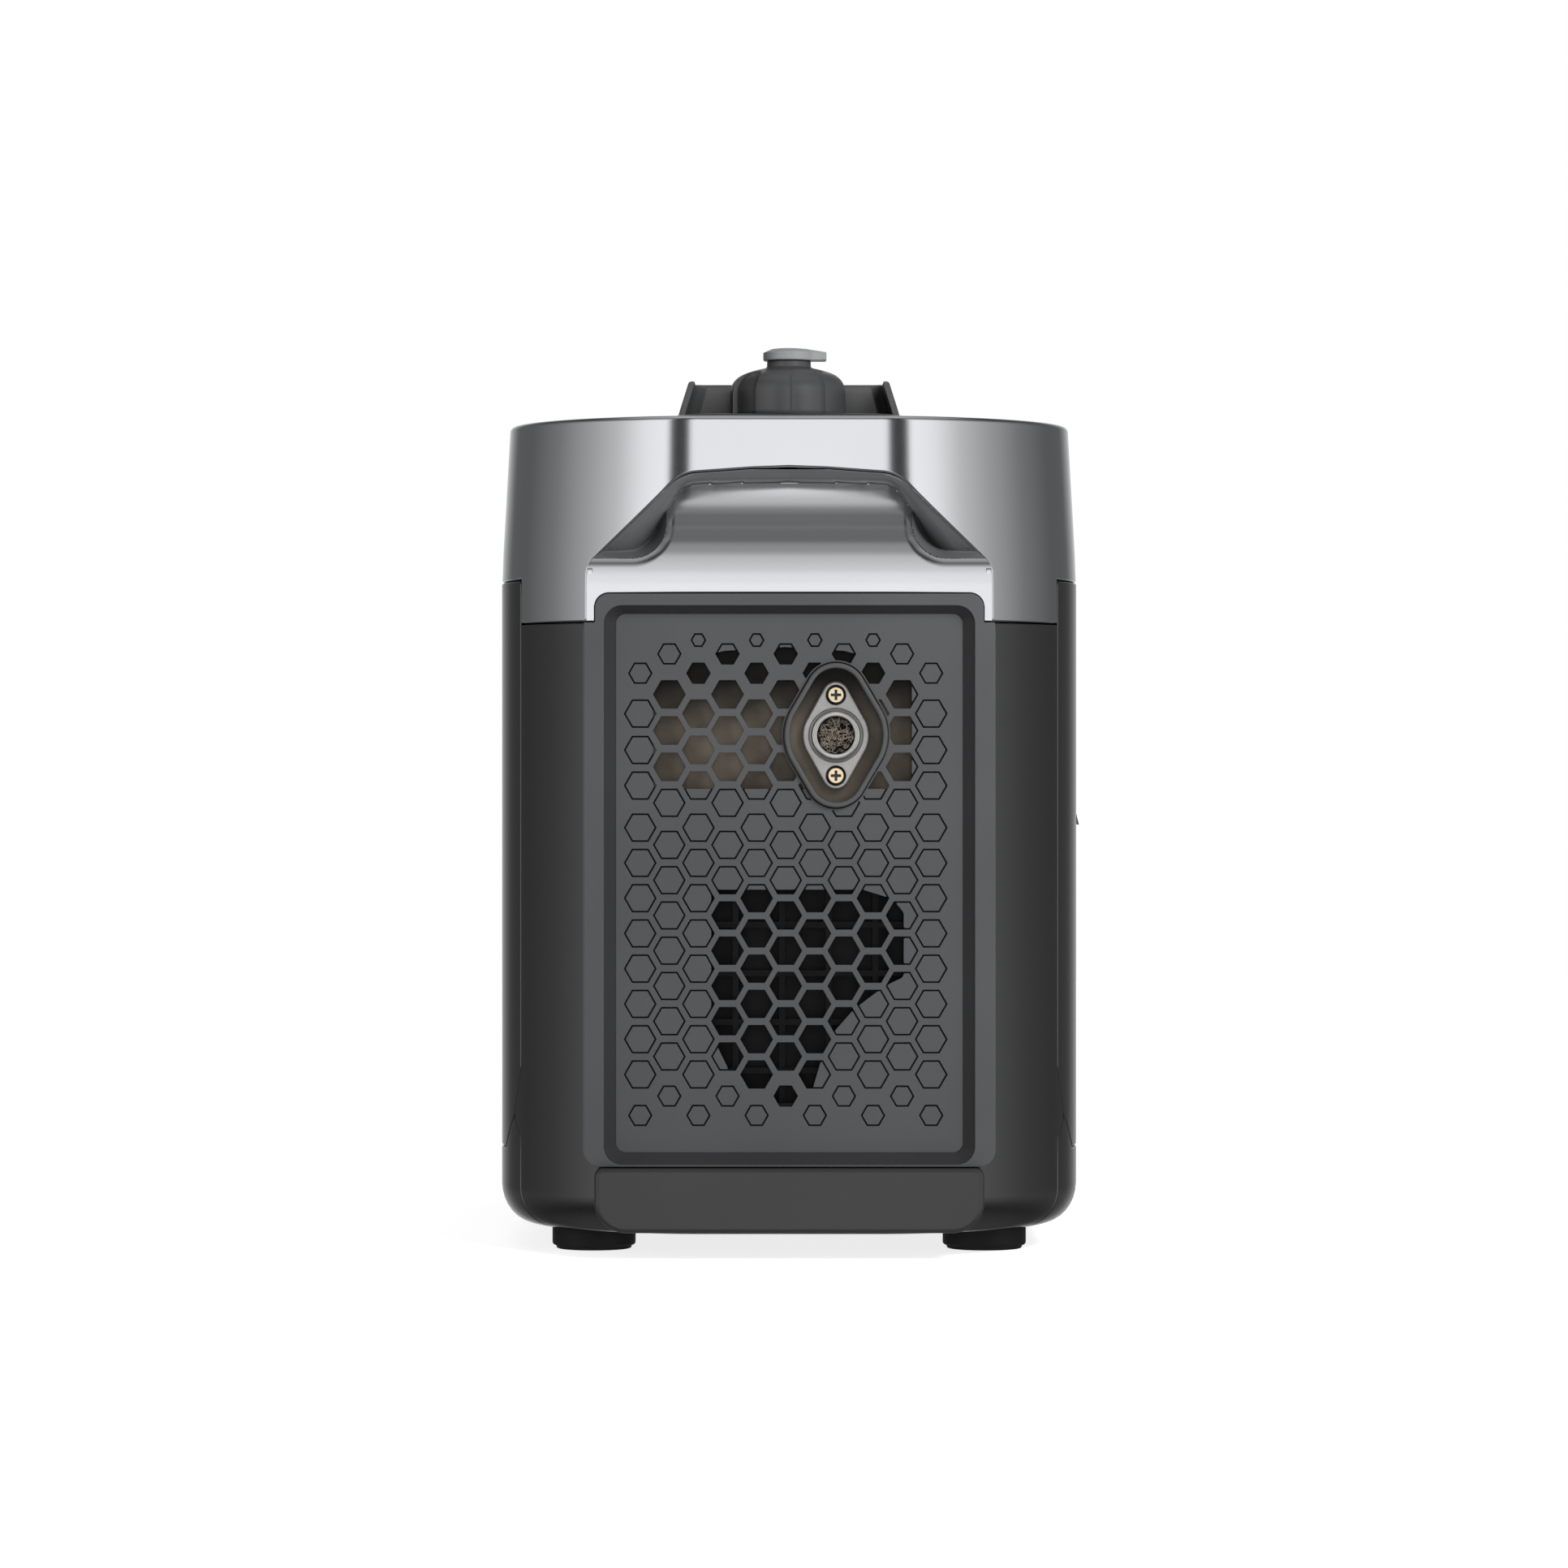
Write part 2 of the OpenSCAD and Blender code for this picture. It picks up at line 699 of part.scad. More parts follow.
case_low = [-60, -76, 50];
case_high = [60, 54, 168];

module crankcase() {
    color(alloy) difference() {
        union() {
            along_y(case_low[1], case_high[1])
                rounded_rect(case_low[0], case_low[2], case_high[0], case_high[2], 16);
            bar_y(0, case_high[1] - 1, case_high[1] + 6, crank_z, 30);
            for (z = [70, 84, 98]) block([-63, -70, z], [63, 48, z + 3]);
            // boss for the dipstick
            bar_x(-78, -50, -28, 82, 12);
        }
        // hollow for the crank, and its two bearings
        bar_y(0, case_low[1] + 6, case_high[1] - 6, crank_z, 44);
        bar_y(0, -74, 80, crank_z, 12.05);
        bar_x(-90, -30, -28, 82, 8);
    }
}

module cylinder_barrel() {
    color(alloy) difference() {
        union() {
            translate([0, -10, case_high[2] + 0.1]) cylinder(r = 33, h = 63.8, $fn = smooth);
            for (i = [0 : 7]) translate([0, -10, 174 + i * 6.5]) linear_extrude(2.2)
                rounded_rect(-43, -43, 43, 43, 12);
        }
        translate([0, -10, 100]) cylinder(r = 24.5, h = 200, $fn = smooth);
    }
}

module cylinder_head() {
    color(alloy) union() {
        translate([0, -10, 232.1]) linear_extrude(29.8) rounded_rect(-31, -31, 31, 31, 8);
        for (i = [0 : 3]) translate([0, -10, 234 + i * 7]) linear_extrude(2.2)
            rounded_rect(-43, -31, 43, 36, 10);
    }
}

module valve_cover() {
    color([0.16, 0.16, 0.17]) translate([0, -10, 262]) union() {
        linear_extrude(4) rounded_rect(-38, -30, 38, 30, 8);
        translate([0, 0, 4]) linear_extrude(16) rounded_rect(-32, -24, 32, 24, 10);
    }
}

module spark_plug() {
    color([0.85, 0.85, 0.82]) union() {
        bar_y(-18, 26.2, 34, 250, 9);
        bar_y(-18, 34, 52, 250, 5);
    }
}

module plug_boot() {
    color([0.06, 0.06, 0.06]) difference() {
        union() {
            bar_y(-18, 38, 64, 250, 9);
            translate([-18, 56, 250]) cylinder(r = 6, h = 22, $fn = 48);
        }
        bar_y(-18, 30, 52.2, 250, 5.02);
    }
}

module carburettor() {
    color(alloy) difference() {
        union() {
            bar_x(-89.8, -43.2, -20, 248, 13);
            block([-80, -34, 222], [-52, -6, 262]);
        }
        bar_x(-100, -30, -20, 248, 8);
    }
}

module air_filter_box() {
    color([0.07, 0.07, 0.07]) difference() {
        along_x(-136, -90) rounded_rect(-50, 205, 76, 290, 12);
        along_x(-133.5, -92.5) rounded_rect(-47.5, 207.5, 73.5, 287.5, 9.5);
        bar_x(-100, -80, -20, 248, 8);
    }
}

module oil_dipstick() {
    color([0.85, 0.55, 0.08]) union() {
        bar_x(-88, -78.2, -28, 82, 13);
        block([-94, -31, 72], [-88, -25, 92]);
        bar_x(-79, -52, -28, 82, 3);
        bar_x(-79, -66, -28, 82, 7.9);
    }
}

module engine_mounts() {
    foot_z = body_bottom + wall;
    color([0.05, 0.05, 0.05]) for (x = [-42, 42], y = [-58, 36])
        translate([x, y, foot_z]) cylinder(r = 13, h = case_low[2] - foot_z, $fn = 48);
}

module crankshaft() {
    color(steel) difference() {
        union() {
            bar_y(0, -73, 160, crank_z, 12);
            // counterweights
            for (y = [-34, 8]) along_y(y, y + 12) translate([0, crank_z]) union() {
                circle(r = 20, $fn = 48);
                intersection() {
                    circle(r = 38, $fn = smooth);
                    translate([-40, -40]) square([80, 40]);
                }
            }
        }
        for (y = [-84, 148]) bar_y(0, y, y + 22, crank_z, 3);
    }
}

module alternator_rotor() {
    color([0.35, 0.36, 0.38]) difference() {
        bar_y(0, 66, 102, crank_z, 46);
        bar_y(0, 60, 110, crank_z, 12.02);
        for (i = [0 : 7]) translate([0, 0, crank_z]) rotate([0, i * 45, 0])
            translate([30, 60, 0]) rotate([-90, 0, 0]) cylinder(r = 6, h = 60, $fn = 24);
    }
}

module alternator_stator() {
    color([0.62, 0.36, 0.20]) difference() {
        union() {
            bar_y(0, 66, 102, crank_z, 72);
            bar_y(0, 60.2, 66.1, crank_z, 60);
        }
        bar_y(0, 59, 110, crank_z, 47);
        for (i = [0 : 17]) translate([0, 0, crank_z]) rotate([0, i * 20, 0])
            block([50, 70, -2], [63, 110, 2]);
    }
}

fan_blades = 12;

module fan_flywheel() {
    color([0.25, 0.26, 0.27]) difference() {
        union() {
            bar_y(0, 106, 114, crank_z, 74);
            bar_y(0, 106, 136, crank_z, 26);
            for (i = [0 : fan_blades - 1]) translate([0, 0, crank_z]) rotate([0, i * 360 / fan_blades, 0])
                block([24, 112, -1.5], [72, 134, 1.5]);
        }
        bar_y(0, 100, 140, crank_z, 12.02);
    }
}

module fan_shroud() {
    color([0.08, 0.08, 0.085]) difference() {
        bar_y(0, 58, 150, crank_z, 86);
        bar_y(0, 50, 146, crank_z, 83);
        bar_y(0, 140, 160, crank_z, 58);
        block([-40, 50, 0], [40, 58.5, 300]);
    }
}

// ---------- recoil starter ----------

module recoil_housing() {
    color([0.08, 0.08, 0.085]) difference() {
        union() {
            bar_y(0, 166, 202, crank_z, 57);
            for (a = [45, 135, 225, 315]) translate([0, 0, crank_z]) rotate([0, a, 0])
                translate([66, 150.2, 0]) rotate([-90, 0, 0]) cylinder(r = 7, h = 24, $fn = 48);
            bar_y(0, 166, 170, crank_z, 70);
        }
        bar_y(0, 160, 199, crank_z, 53);
        block([14, 178, crank_z + 36], [90, 192, crank_z + 60]);
    }
}

module recoil_pulley() {
    color([0.75, 0.76, 0.74]) difference() {
        union() {
            bar_y(0, pulley_y - 8, pulley_y + 8, crank_z, 43);
            for (y = [-8, 5]) bar_y(0, pulley_y + y, pulley_y + y + 3, crank_z, 50);
            bar_y(0, pulley_y - 14, pulley_y - 8, crank_z, 20);
        }
        bar_y(0, pulley_y - 20, pulley_y + 20, crank_z, 5);
        for (i = [0 : 4]) translate([0, 0, crank_z]) rotate([0, i * 72, 0])
            translate([30, pulley_y - 20, 0]) rotate([-90, 0, 0]) cylinder(r = 7, h = 40, $fn = 48);
    }
}

rope_z = crank_z + pulley_r;

module recoil_cup() {
    color([0.07, 0.07, 0.075]) difference() {
        along_x(118, panel_x - 1) framed_rect(recoil_low, recoil_high, gap, 11.6);
        along_x(120.5, 200) framed_rect(recoil_low, recoil_high, 3, 9);
        bar_x(100, 130, pulley_y, rope_z, 3.5);
    }
}

module recoil_grip() {
    color([0.05, 0.05, 0.05]) difference() {
        union() {
            along_x(130, 143.5) rounded_rect(pulley_y - 12, rope_z - 42, pulley_y + 12, rope_z + 42, 11.9);
            bar_x(123, 131, pulley_y, rope_z, 9);
        }
        bar_x(120, 128, pulley_y, rope_z, 2.1);
        for (s = [-1, 1], i = [0 : 2]) let (z = rope_z + s * (16 + i * 7))
            block([142.6, pulley_y - 8, z - 1], [150, pulley_y + 8, z + 1]);
    }
}

module starter_rope() {
    color([0.80, 0.79, 0.74]) bar_x(4, 128, pulley_y, rope_z, rope_d / 2);
}

// ---------- electrics ----------

module inverter_module() {
    color([0.45, 0.46, 0.47]) union() {
        block([-90, 236, 58], [90, 262, 300]);
        for (i = [0 : 17]) block([-88 + i * 10, 212, 62], [-85.5 + i * 10, 237, 296]);
    }
}

module starter_battery() {
    color([0.10, 0.12, 0.16]) union() {
        block([50, -165, body_bottom + wall + 0.2], [116, -92, 92]);
        for (y = [-150, -107]) translate([83, y, 91.9]) cylinder(r = 5, h = 8, $fn = 48);
    }
}

control_face = panel_x - 5;                  // front of the recessed control panel
button_x = control_face;
start_y = 28;
button_z = 303;
mode_y = -10;
knob_y = 5;
knob_z = 190;
dc_y = 5;
dc_z = 247;

module control_panel() {
    color(grille_grey) difference() {
        union() {
            along_x(control_face - 4, control_face) framed_rect(control_low, control_high, gap, 9.6);
            // raised edge that meets the side panel
            along_x(control_face - 4, panel_x - 0.6) difference() {
                framed_rect(control_low, control_high, gap, 9.6);
                framed_rect(control_low, control_high, 3, 7);
            }
        }
        along_x(130, 150) rounded_rect(-134, 289, -40, 317, 3);
        bar_x(130, 150, start_y, button_z, 9.1);
        bar_x(130, 150, mode_y, button_z, 6.1);
        along_x(130, 150) rounded_rect(-141, 221, -49, 277, 4);
        bar_x(130, 150, dc_y, dc_z, 14.4);
        bar_x(130, 150, knob_y, knob_z, 6.08);
    }
}

module display_window() {
    color([0.02, 0.03, 0.05]) along_x(control_face - 3, control_face + 0.6)
        rounded_rect(-133.8, 289.2, -40.2, 316.8, 2.8);
}

module start_button() {
    color([0.70, 0.71, 0.72]) union() {
        bar_x(button_x - 5, button_x + 2.2, start_y, button_z, 9);
        bar_x(button_x - 8, button_x - 4.9, start_y, button_z, 4);
    }
}

module mode_button() {
    color([0.25, 0.26, 0.27]) bar_x(button_x - 5, button_x + 1.6, mode_y, button_z, 6);
}

module outlet_block() {
    color([0.09, 0.09, 0.095]) difference() {
        along_x(control_face - 12, control_face - 1) rounded_rect(-140.8, 221.2, -49.2, 276.8, 3.8);
        // two earthed sockets
        for (y = [-117, -73]) {
            for (slot_y = [y - 6.4, y + 6.4])
                block([control_face - 9, slot_y - 1.1, 250], [control_face + 1, slot_y + 1.1, 258]);
            bar_x(control_face - 9, control_face + 1, y, 240, 2.5);
        }
    }
}

cover_hinge_z = 281;

// Flap over the outlets, hinged along its upper edge, with a finger lip below
module outlet_cover() {
    color([0.06, 0.06, 0.062]) union() {
        along_y(-145, -45) polygon([
            [control_face + 0.3, 216], [panel_x + 3.4, 213], [panel_x + 0.2, 226], [panel_x - 0.6, 236],
            [panel_x + 0.6, 246], [panel_x + 0.9, 254], [panel_x + 0.6, 264], [panel_x - 0.6, 273],
            [control_face + 1.6, cover_hinge_z - 2], [control_face + 0.3, cover_hinge_z - 3]]);
        bar_y(control_face + 3, -143, -47, cover_hinge_z, 2.7);
    }
}

module dc_port() {
    color([0.07, 0.07, 0.075]) difference() {
        union() {
            bar_x(control_face - 14, control_face + 3, dc_y, dc_z, 14.2);
            bar_x(control_face + 0.1, control_face + 1.6, dc_y, dc_z, 17);
        }
        bar_x(control_face - 8, control_face + 10, dc_y, dc_z, 11);
    }
}

module fuel_valve_knob() {
    color([0.10, 0.10, 0.105]) union() {
        bar_x(control_face + 0.4, control_face + 3, knob_y, knob_z, 17);
        along_x(control_face + 2.9, panel_x - 0.4)
            rounded_rect(knob_y - 4, knob_z - 16, knob_y + 4, knob_z + 16, 3.9);
        bar_x(control_face - 10, control_face + 1, knob_y, knob_z, 6);
    }
}

// ---------- drawing ----------

top_housing();
exhaust_end_shell();
intake_end_shell();
control_side_panel();
service_side_panel();
base_tray();
rubber_feet();
foot_screws();
exhaust_handle_scoop();
intake_handle_scoop();
exhaust_grille();
intake_grille();
tail_pipe_bezel();
tail_pipe_flange();
tail_pipe_screws();
spark_arrester_wool();
muffler();
muffler_heat_shield();
exhaust_header();
engine_duct_lattice();
filler_surround();
fuel_tank();
cap_gasket();
fuel_cap();
vent_lever();
petcock();
fuel_hose();
crankcase();
cylinder_barrel();
cylinder_head();
valve_cover();
spark_plug();
plug_boot();
carburettor();
air_filter_box();
oil_dipstick();
engine_mounts();
crankshaft();
alternator_rotor();
alternator_stator();
fan_flywheel();
fan_shroud();
recoil_housing();
recoil_pulley();
recoil_cup();
recoil_grip();
starter_rope();
inverter_module();
starter_battery();
control_panel();
display_window();
start_button();
mode_button();
outlet_block();
outlet_cover();
dc_port();
fuel_valve_knob();
service_cover();
service_knob();
oil_hatch();
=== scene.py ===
"""Portable inverter generator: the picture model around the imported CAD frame.

Shapes are worked out in millimetres in the CAD frame (+Z up, the exhaust end towards -Y) and
turned into metres when a mesh is made. Both ends of the casing come from the same functions:
the intake end is the exhaust end turned by half a turn.
"""

import json
import math
import random

import bmesh
import bpy
import numpy as np
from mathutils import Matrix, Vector
from mathutils.geometry import delaunay_2d_cdt


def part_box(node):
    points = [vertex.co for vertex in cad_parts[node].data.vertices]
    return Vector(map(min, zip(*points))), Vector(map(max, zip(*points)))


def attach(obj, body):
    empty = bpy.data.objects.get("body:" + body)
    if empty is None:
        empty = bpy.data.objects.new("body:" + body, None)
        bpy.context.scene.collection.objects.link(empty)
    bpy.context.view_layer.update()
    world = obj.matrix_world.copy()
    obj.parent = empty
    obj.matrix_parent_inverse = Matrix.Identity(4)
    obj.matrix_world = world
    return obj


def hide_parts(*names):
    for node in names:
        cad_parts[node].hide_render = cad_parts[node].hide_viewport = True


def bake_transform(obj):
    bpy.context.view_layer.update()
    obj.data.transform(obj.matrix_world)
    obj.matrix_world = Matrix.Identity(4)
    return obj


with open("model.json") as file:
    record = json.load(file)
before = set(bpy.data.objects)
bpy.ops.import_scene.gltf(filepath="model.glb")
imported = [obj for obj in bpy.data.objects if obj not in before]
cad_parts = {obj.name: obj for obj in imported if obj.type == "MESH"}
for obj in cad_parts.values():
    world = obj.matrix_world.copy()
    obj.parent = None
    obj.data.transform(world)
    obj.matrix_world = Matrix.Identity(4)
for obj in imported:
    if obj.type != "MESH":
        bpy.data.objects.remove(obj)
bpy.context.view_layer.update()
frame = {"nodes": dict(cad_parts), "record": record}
NODES = frame["nodes"]
CASING = "casing"
REPLACED = set()                                # CAD nodes that a piece stands for


def box_mm(node):
    """Lowest and highest corner of a CAD node, in millimetres."""
    low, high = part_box(node)
    return [1000 * c for c in low], [1000 * c for c in high]


# ---------- sizes shared with the CAD, in millimetres ----------

shell_low, shell_high = box_mm("exhaust_end_shell")
grille_low, grille_high = box_mm("exhaust_grille")
bezel_low, bezel_high = box_mm("tail_pipe_bezel")
panel_high = box_mm("control_side_panel")[1]

HALF_WIDTH = panel_high[0]
HALF_LENGTH = -shell_low[1]
UNDERSIDE = shell_low[2]
TOP = box_mm("top_housing")[1][2]
SIDE_SEAM_Z = panel_high[2] + 0.2
END_SEAM_Z = shell_high[2] + 0.2
TAIL_X = (bezel_low[0] + bezel_high[0]) / 2
TAIL_Z = (bezel_low[2] + bezel_high[2]) / 2
SEAM_GAP = 0.25
SKIN = 2.6                                      # wall of the moulded casing
SPINE_X = grille_high[0]
RIM_Y = -grille_low[1]
CORNER_R, CENTRE_Y = 117.4, 183.2               # arc at each corner of the plan, and its centre
CENTRE_X = HALF_WIDTH - CORNER_R
CREASE_R = 66.0                                 # smaller arc between the corner and the flat end
END_SPLIT = 234.0                               # Y of the seam between end shell and side panel


# ---------- mesh building ----------

SEED_CLEARANCE = 1.2                            # least distance of a seed point from a ring
EDGE_SHARE = 0.49                               # most of an edge that one rounded corner uses up


def add_mesh(name, points, faces, normals=None, angle=32):
    """Mesh object from points in millimetres; normals has one vector per face corner, or none."""
    mesh = bpy.data.meshes.new(name)
    mesh.from_pydata([(p[0] / 1000, p[1] / 1000, p[2] / 1000) for p in points], [], faces)
    mesh.update()
    mesh.shade_smooth()
    if normals is None:
        mesh.set_sharp_from_angle(angle=math.radians(angle))
    else:
        mesh.normals_split_custom_set([tuple(n) for n in normals])
    obj = bpy.data.objects.new(name, mesh)
    bpy.context.scene.collection.objects.link(obj)
    return obj


def unit(v):
    """Vector of length one along v."""
    size = math.sqrt(sum(c * c for c in v)) or 1.0
    return [c / size for c in v]


def area(loop):
    """Signed area of a closed loop of 2-D points."""
    return 0.5 * sum(a[0] * b[1] - b[0] * a[1] for a, b in zip(loop, loop[1:] + loop[:1]))


def mitres(loop):
    """For each point of a loop, the step into the material on its left for an offset of one."""
    steps = []
    for before, here, after in zip(loop[-1:] + loop[:-1], loop, loop[1:] + loop[:1]):
        sides = []
        for a, b in ((before, here), (here, after)):
            size = math.hypot(b[0] - a[0], b[1] - a[1]) or 1.0
            sides.append(((a[1] - b[1]) / size, (b[0] - a[0]) / size))
        (ax, ay), (bx, by) = sides
        scale = 1 / max(1 + ax * bx + ay * by, 0.55)
        steps.append(((ax + bx) * scale, (ay + by) * scale))
    return steps


def inside(points, loops):
    """Even-odd test of an array of points against closed loops."""
    x, y = points[:, 0], points[:, 1]
    odd = np.zeros(len(points), bool)
    for loop in loops:
        for (x0, y0), (x1, y1) in zip(loop, loop[1:] + loop[:1]):
            if y0 != y1:
                odd ^= ((y0 > y) != (y1 > y)) & (x < (x1 - x0) * (y - y0) / (y1 - y0) + x0)
    return odd


def fill(rings, seeds):
    """Points and triangles between closed rings, with the seed points that lie well inside."""
    border = [tuple(p) for ring in rings for p in ring]
    if len(seeds):
        seeds = np.array(seeds, float)
        seeds = seeds[inside(seeds, rings)]
        edge = np.array(border)
        clear = [float(np.min(np.hypot(*(edge - s).T))) > SEED_CLEARANCE for s in seeds]
        seeds = [tuple(s) for s, ok in zip(seeds, clear) if ok]
    points = border + list(seeds)
    edges, start = [], 0
    for ring in rings:
        count = len(ring)
        edges += [(start + i, start + (i + 1) % count) for i in range(count)]
        start += count
    found, _, triangles, origin, _, _ = delaunay_2d_cdt([Vector(p) for p in points], edges, [], 0, 1e-5)
    assert all(origin), "two rings cross each other"
    back = [o[0] for o in origin]
    centres = np.array([[sum(found[i][k] for i in t) / 3 for k in (0, 1)] for t in triangles])
    keep = inside(centres, rings)
    return points, [[back[i] for i in t] for t, ok in zip(triangles, keep) if ok]


def sheet(name, loops, place, radius, thick, seeds=(), steps=4):
    """Closed sheet with rounded front edges; radius is one for all loops, or a list with one for each.

    loops holds the outline and then the holes, as 2-D points; place(a, b, depth) gives the 3-D point
    at a depth below the front, measured along the surface's own normal.
    """
    loops = [loop if (area(loop) > 0) == (k == 0) else loop[::-1] for k, loop in enumerate(loops)]
    front = lambda a, b: np.array(place(a, b, 0.0))
    facing = lambda a, b: front(a, b) - np.array(place(a, b, 1.0))
    radii = radius if isinstance(radius, (list, tuple)) else [radius] * len(loops)
    points, faces, normals, rings = [], [], [], []
    for loop, round_r in zip(loops, radii):
        into = mitres(loop)
        outward, scale = [], []
        for (a, b), (da, db) in zip(loop, into):
            step = front(a, b) - front(a + da * 0.05, b + db * 0.05)
            size = float(np.linalg.norm(step)) / 0.05
            outward.append(step / (size * 0.05 + 1e-12))
            scale.append(math.hypot(da, db) / max(size, 1e-6))
        face_n = [facing(a, b) for a, b in loop]
        rows = []
        for k in range(steps + 1):
            turn = math.pi / 2 * k / steps
            inward, depth = round_r * (1 - math.sin(turn)), round_r * (1 - math.cos(turn))
            rows.append(([(a + da * inward * s, b + db * inward * s, depth)
                          for (a, b), (da, db), s in zip(loop, into, scale)],
                         [n * math.cos(turn) + o * math.sin(turn) for n, o in zip(face_n, outward)]))
        cut = min(round_r, thick * 0.3)
        rows.append(([(a, b, thick - cut) for a, b in loop], outward))
        rows.append(([(a + da * round_r * s, b + db * round_r * s, thick)
                      for (a, b), (da, db), s in zip(loop, into, scale)],
                     [o - n for n, o in zip(face_n, outward)]))
        rings.append((rows, face_n))
    flat_rings = [[(a, b) for a, b, _ in rows[0][0]] for rows, _ in rings]
    plane, triangles = fill(flat_rings, seeds)
    border = sum(len(r) for r in flat_rings)
    points += [place(a, b, 0.0) for a, b in plane]
    points += [place(a, b, thick) for a, b in plane]
    back = len(plane)
    skin_n = [facing(a, b) for a, b in plane]
    for t in triangles:
        p, q, r = (np.array(points[i]) for i in t)
        if np.dot(np.cross(q - p, r - p), skin_n[t[0]]) < 0:
            t = t[::-1]
        faces.append(t)
        normals += [skin_n[i] for i in t]
        under = [i + back for i in t[::-1]]
        faces.append(under)
        normals += [-skin_n[i - back] for i in under]
    start = 0
    for rows, _ in rings:
        count = len(rows[0][0])
        ids = [list(range(start, start + count))]
        for row, _ in rows[1:-1]:
            ids.append(list(range(len(points), len(points) + count)))
            points += [place(*p) for p in row]
        ids.append(list(range(back + start, back + start + count)))
        for k in range(len(ids) - 1):
            upper, lower = (rows[k][1], rows[k + 1][1])
            if k >= steps:
                upper = lower = rows[k + 1][1]
            for i in range(count):
                j = (i + 1) % count
                faces.append([ids[k][i], ids[k + 1][i], ids[k + 1][j], ids[k][j]])
                normals += [upper[i], lower[i], lower[j], upper[j]]
        start += count
    flip = np.dot(np.cross(np.array(points[faces[-1][1]]) - points[faces[-1][0]],
                           np.array(points[faces[-1][2]]) - points[faces[-1][0]]),
                  np.array(normals[-1], float)) < 0
    if flip:
        quads = sum(len(rows[0][0]) * (len(rows) - 1) for rows, _ in rings)
        strip_faces = faces[-quads:]
        strip_normals = normals[-4 * quads:]
        faces[-quads:] = [f[::-1] for f in strip_faces]
        normals[-4 * quads:] = [n for i in range(quads) for n in strip_normals[4 * i:4 * i + 4][::-1]]
    return add_mesh(name, points, faces, [unit(n) for n in normals])


def stack(name, loops, angle=32, closed_section=False):
    """Surface through loops of 3-D points that have the same count, capped or joined to a ring."""
    count, points, faces = len(loops[0]), [], []
    for loop in loops:
        points += list(loop)
    rows = len(loops)
    for k in range(rows if closed_section else rows - 1):
        for i in range(count):
            j, m = (i + 1) % count, (k + 1) % rows
            faces.append([k * count + i, k * count + j, m * count + j, m * count + i])
    if not closed_section:
        faces.append(list(range(count))[::-1])
        faces.append([(rows - 1) * count + i for i in range(count)])
    obj = add_mesh(name, points, faces, angle=angle)
    fix_facing(obj, angle)
    return obj


def fix_facing(obj, angle):
    """Makes a closed mesh face outwards."""
    bm = bmesh.new()
    bm.from_mesh(obj.data)
    bmesh.ops.recalc_face_normals(bm, faces=bm.faces)
    bm.to_mesh(obj.data)
    bm.free()
    obj.data.shade_smooth()
    obj.data.set_sharp_from_angle(angle=math.radians(angle))


def trace(points, step=3.0, closed=True):
    """Points along a polygon with no gap longer than step."""
    out = []
    pairs = zip(points, points[1:] + points[:1]) if closed else zip(points, points[1:])
    for a, b in pairs:
        parts = max(1, math.ceil(math.dist(a, b) / step))
        out += [tuple(a[k] + (b[k] - a[k]) * i / parts for k in range(len(a))) for i in range(parts)]
    return out if closed else out + [tuple(points[-1])]


def arc(x, y, r, start, stop, step):
    """Points at whole degrees round a centre."""
    return [(x + r * math.cos(math.radians(a)), y + r * math.sin(math.radians(a)))
            for a in range(start, stop, step)]


def circle(x, y, r, count=64):
    """Loop of points round a centre."""
    turns = [2 * math.pi * k / count for k in range(count)]
    return [(x + r * math.cos(t), y + r * math.sin(t)) for t in turns]


def soften(points, radii, arc_step=10):
    """Polygon with its corners rounded; radii has one radius per corner, or one for all."""
    if not isinstance(radii, (list, tuple)):
        radii = [radii] * len(points)
    out = []
    for before, here, after, r in zip(points[-1:] + points[:-1], points, points[1:] + points[:1], radii):
        if r <= 0:
            out.append(tuple(here))
            continue
        a, b = (unit([p[k] - here[k] for k in (0, 1)]) for p in (before, after))
        half = math.acos(max(-1, min(1, a[0] * b[0] + a[1] * b[1]))) / 2
        room = [EDGE_SHARE * math.dist(here, p) for p in (before, after)]
        reach = min(r / math.tan(half), *room)
        r = reach * math.tan(half)
        middle = unit([a[0] + b[0], a[1] + b[1]])
        centre = [here[k] + middle[k] * r / math.sin(half) for k in (0, 1)]
        start, end = ([here[k] + v[k] * reach for k in (0, 1)] for v in (a, b))
        a0 = math.atan2(start[1] - centre[1], start[0] - centre[0])
        a1 = math.atan2(end[1] - centre[1], end[0] - centre[0])
        turn = (a1 - a0 + math.pi) % (2 * math.pi) - math.pi
        parts = max(2, math.ceil(abs(math.degrees(turn)) / arc_step))
        out += [(centre[0] + r * math.cos(a0 + turn * i / parts),
                 centre[1] + r * math.sin(a0 + turn * i / parts)) for i in range(parts + 1)]
    return out


def carve(loop, cutter, step=0.7):
    """Loop with the part that lies inside the cutter taken away; one piece is left."""
    ring = trace(loop, step)
    gone = inside(np.array(ring), [cutter])
    if not gone.any():
        return loop
    if gone.all():
        return []
    first = next(i for i in range(len(ring)) if gone[i - 1] and not gone[i])
    kept = [ring[(first + i) % len(ring)] for i in range(len(ring)) if not gone[(first + i) % len(ring)]]
    edge = trace(cutter, step)
    within = inside(np.array(edge), [loop])
    if not within.any():
        return kept
    first = next(i for i in range(len(edge)) if within[i] and not within[i - 1])
    arc = [edge[(first + i) % len(edge)] for i in range(len(edge)) if within[(first + i) % len(edge)]]
    if math.dist(kept[-1], arc[0]) > math.dist(kept[-1], arc[-1]):
        arc = arc[::-1]
    arc = [p for p in arc if min(math.dist(p, kept[0]), math.dist(p, kept[-1])) > 0.4]
    return kept + arc


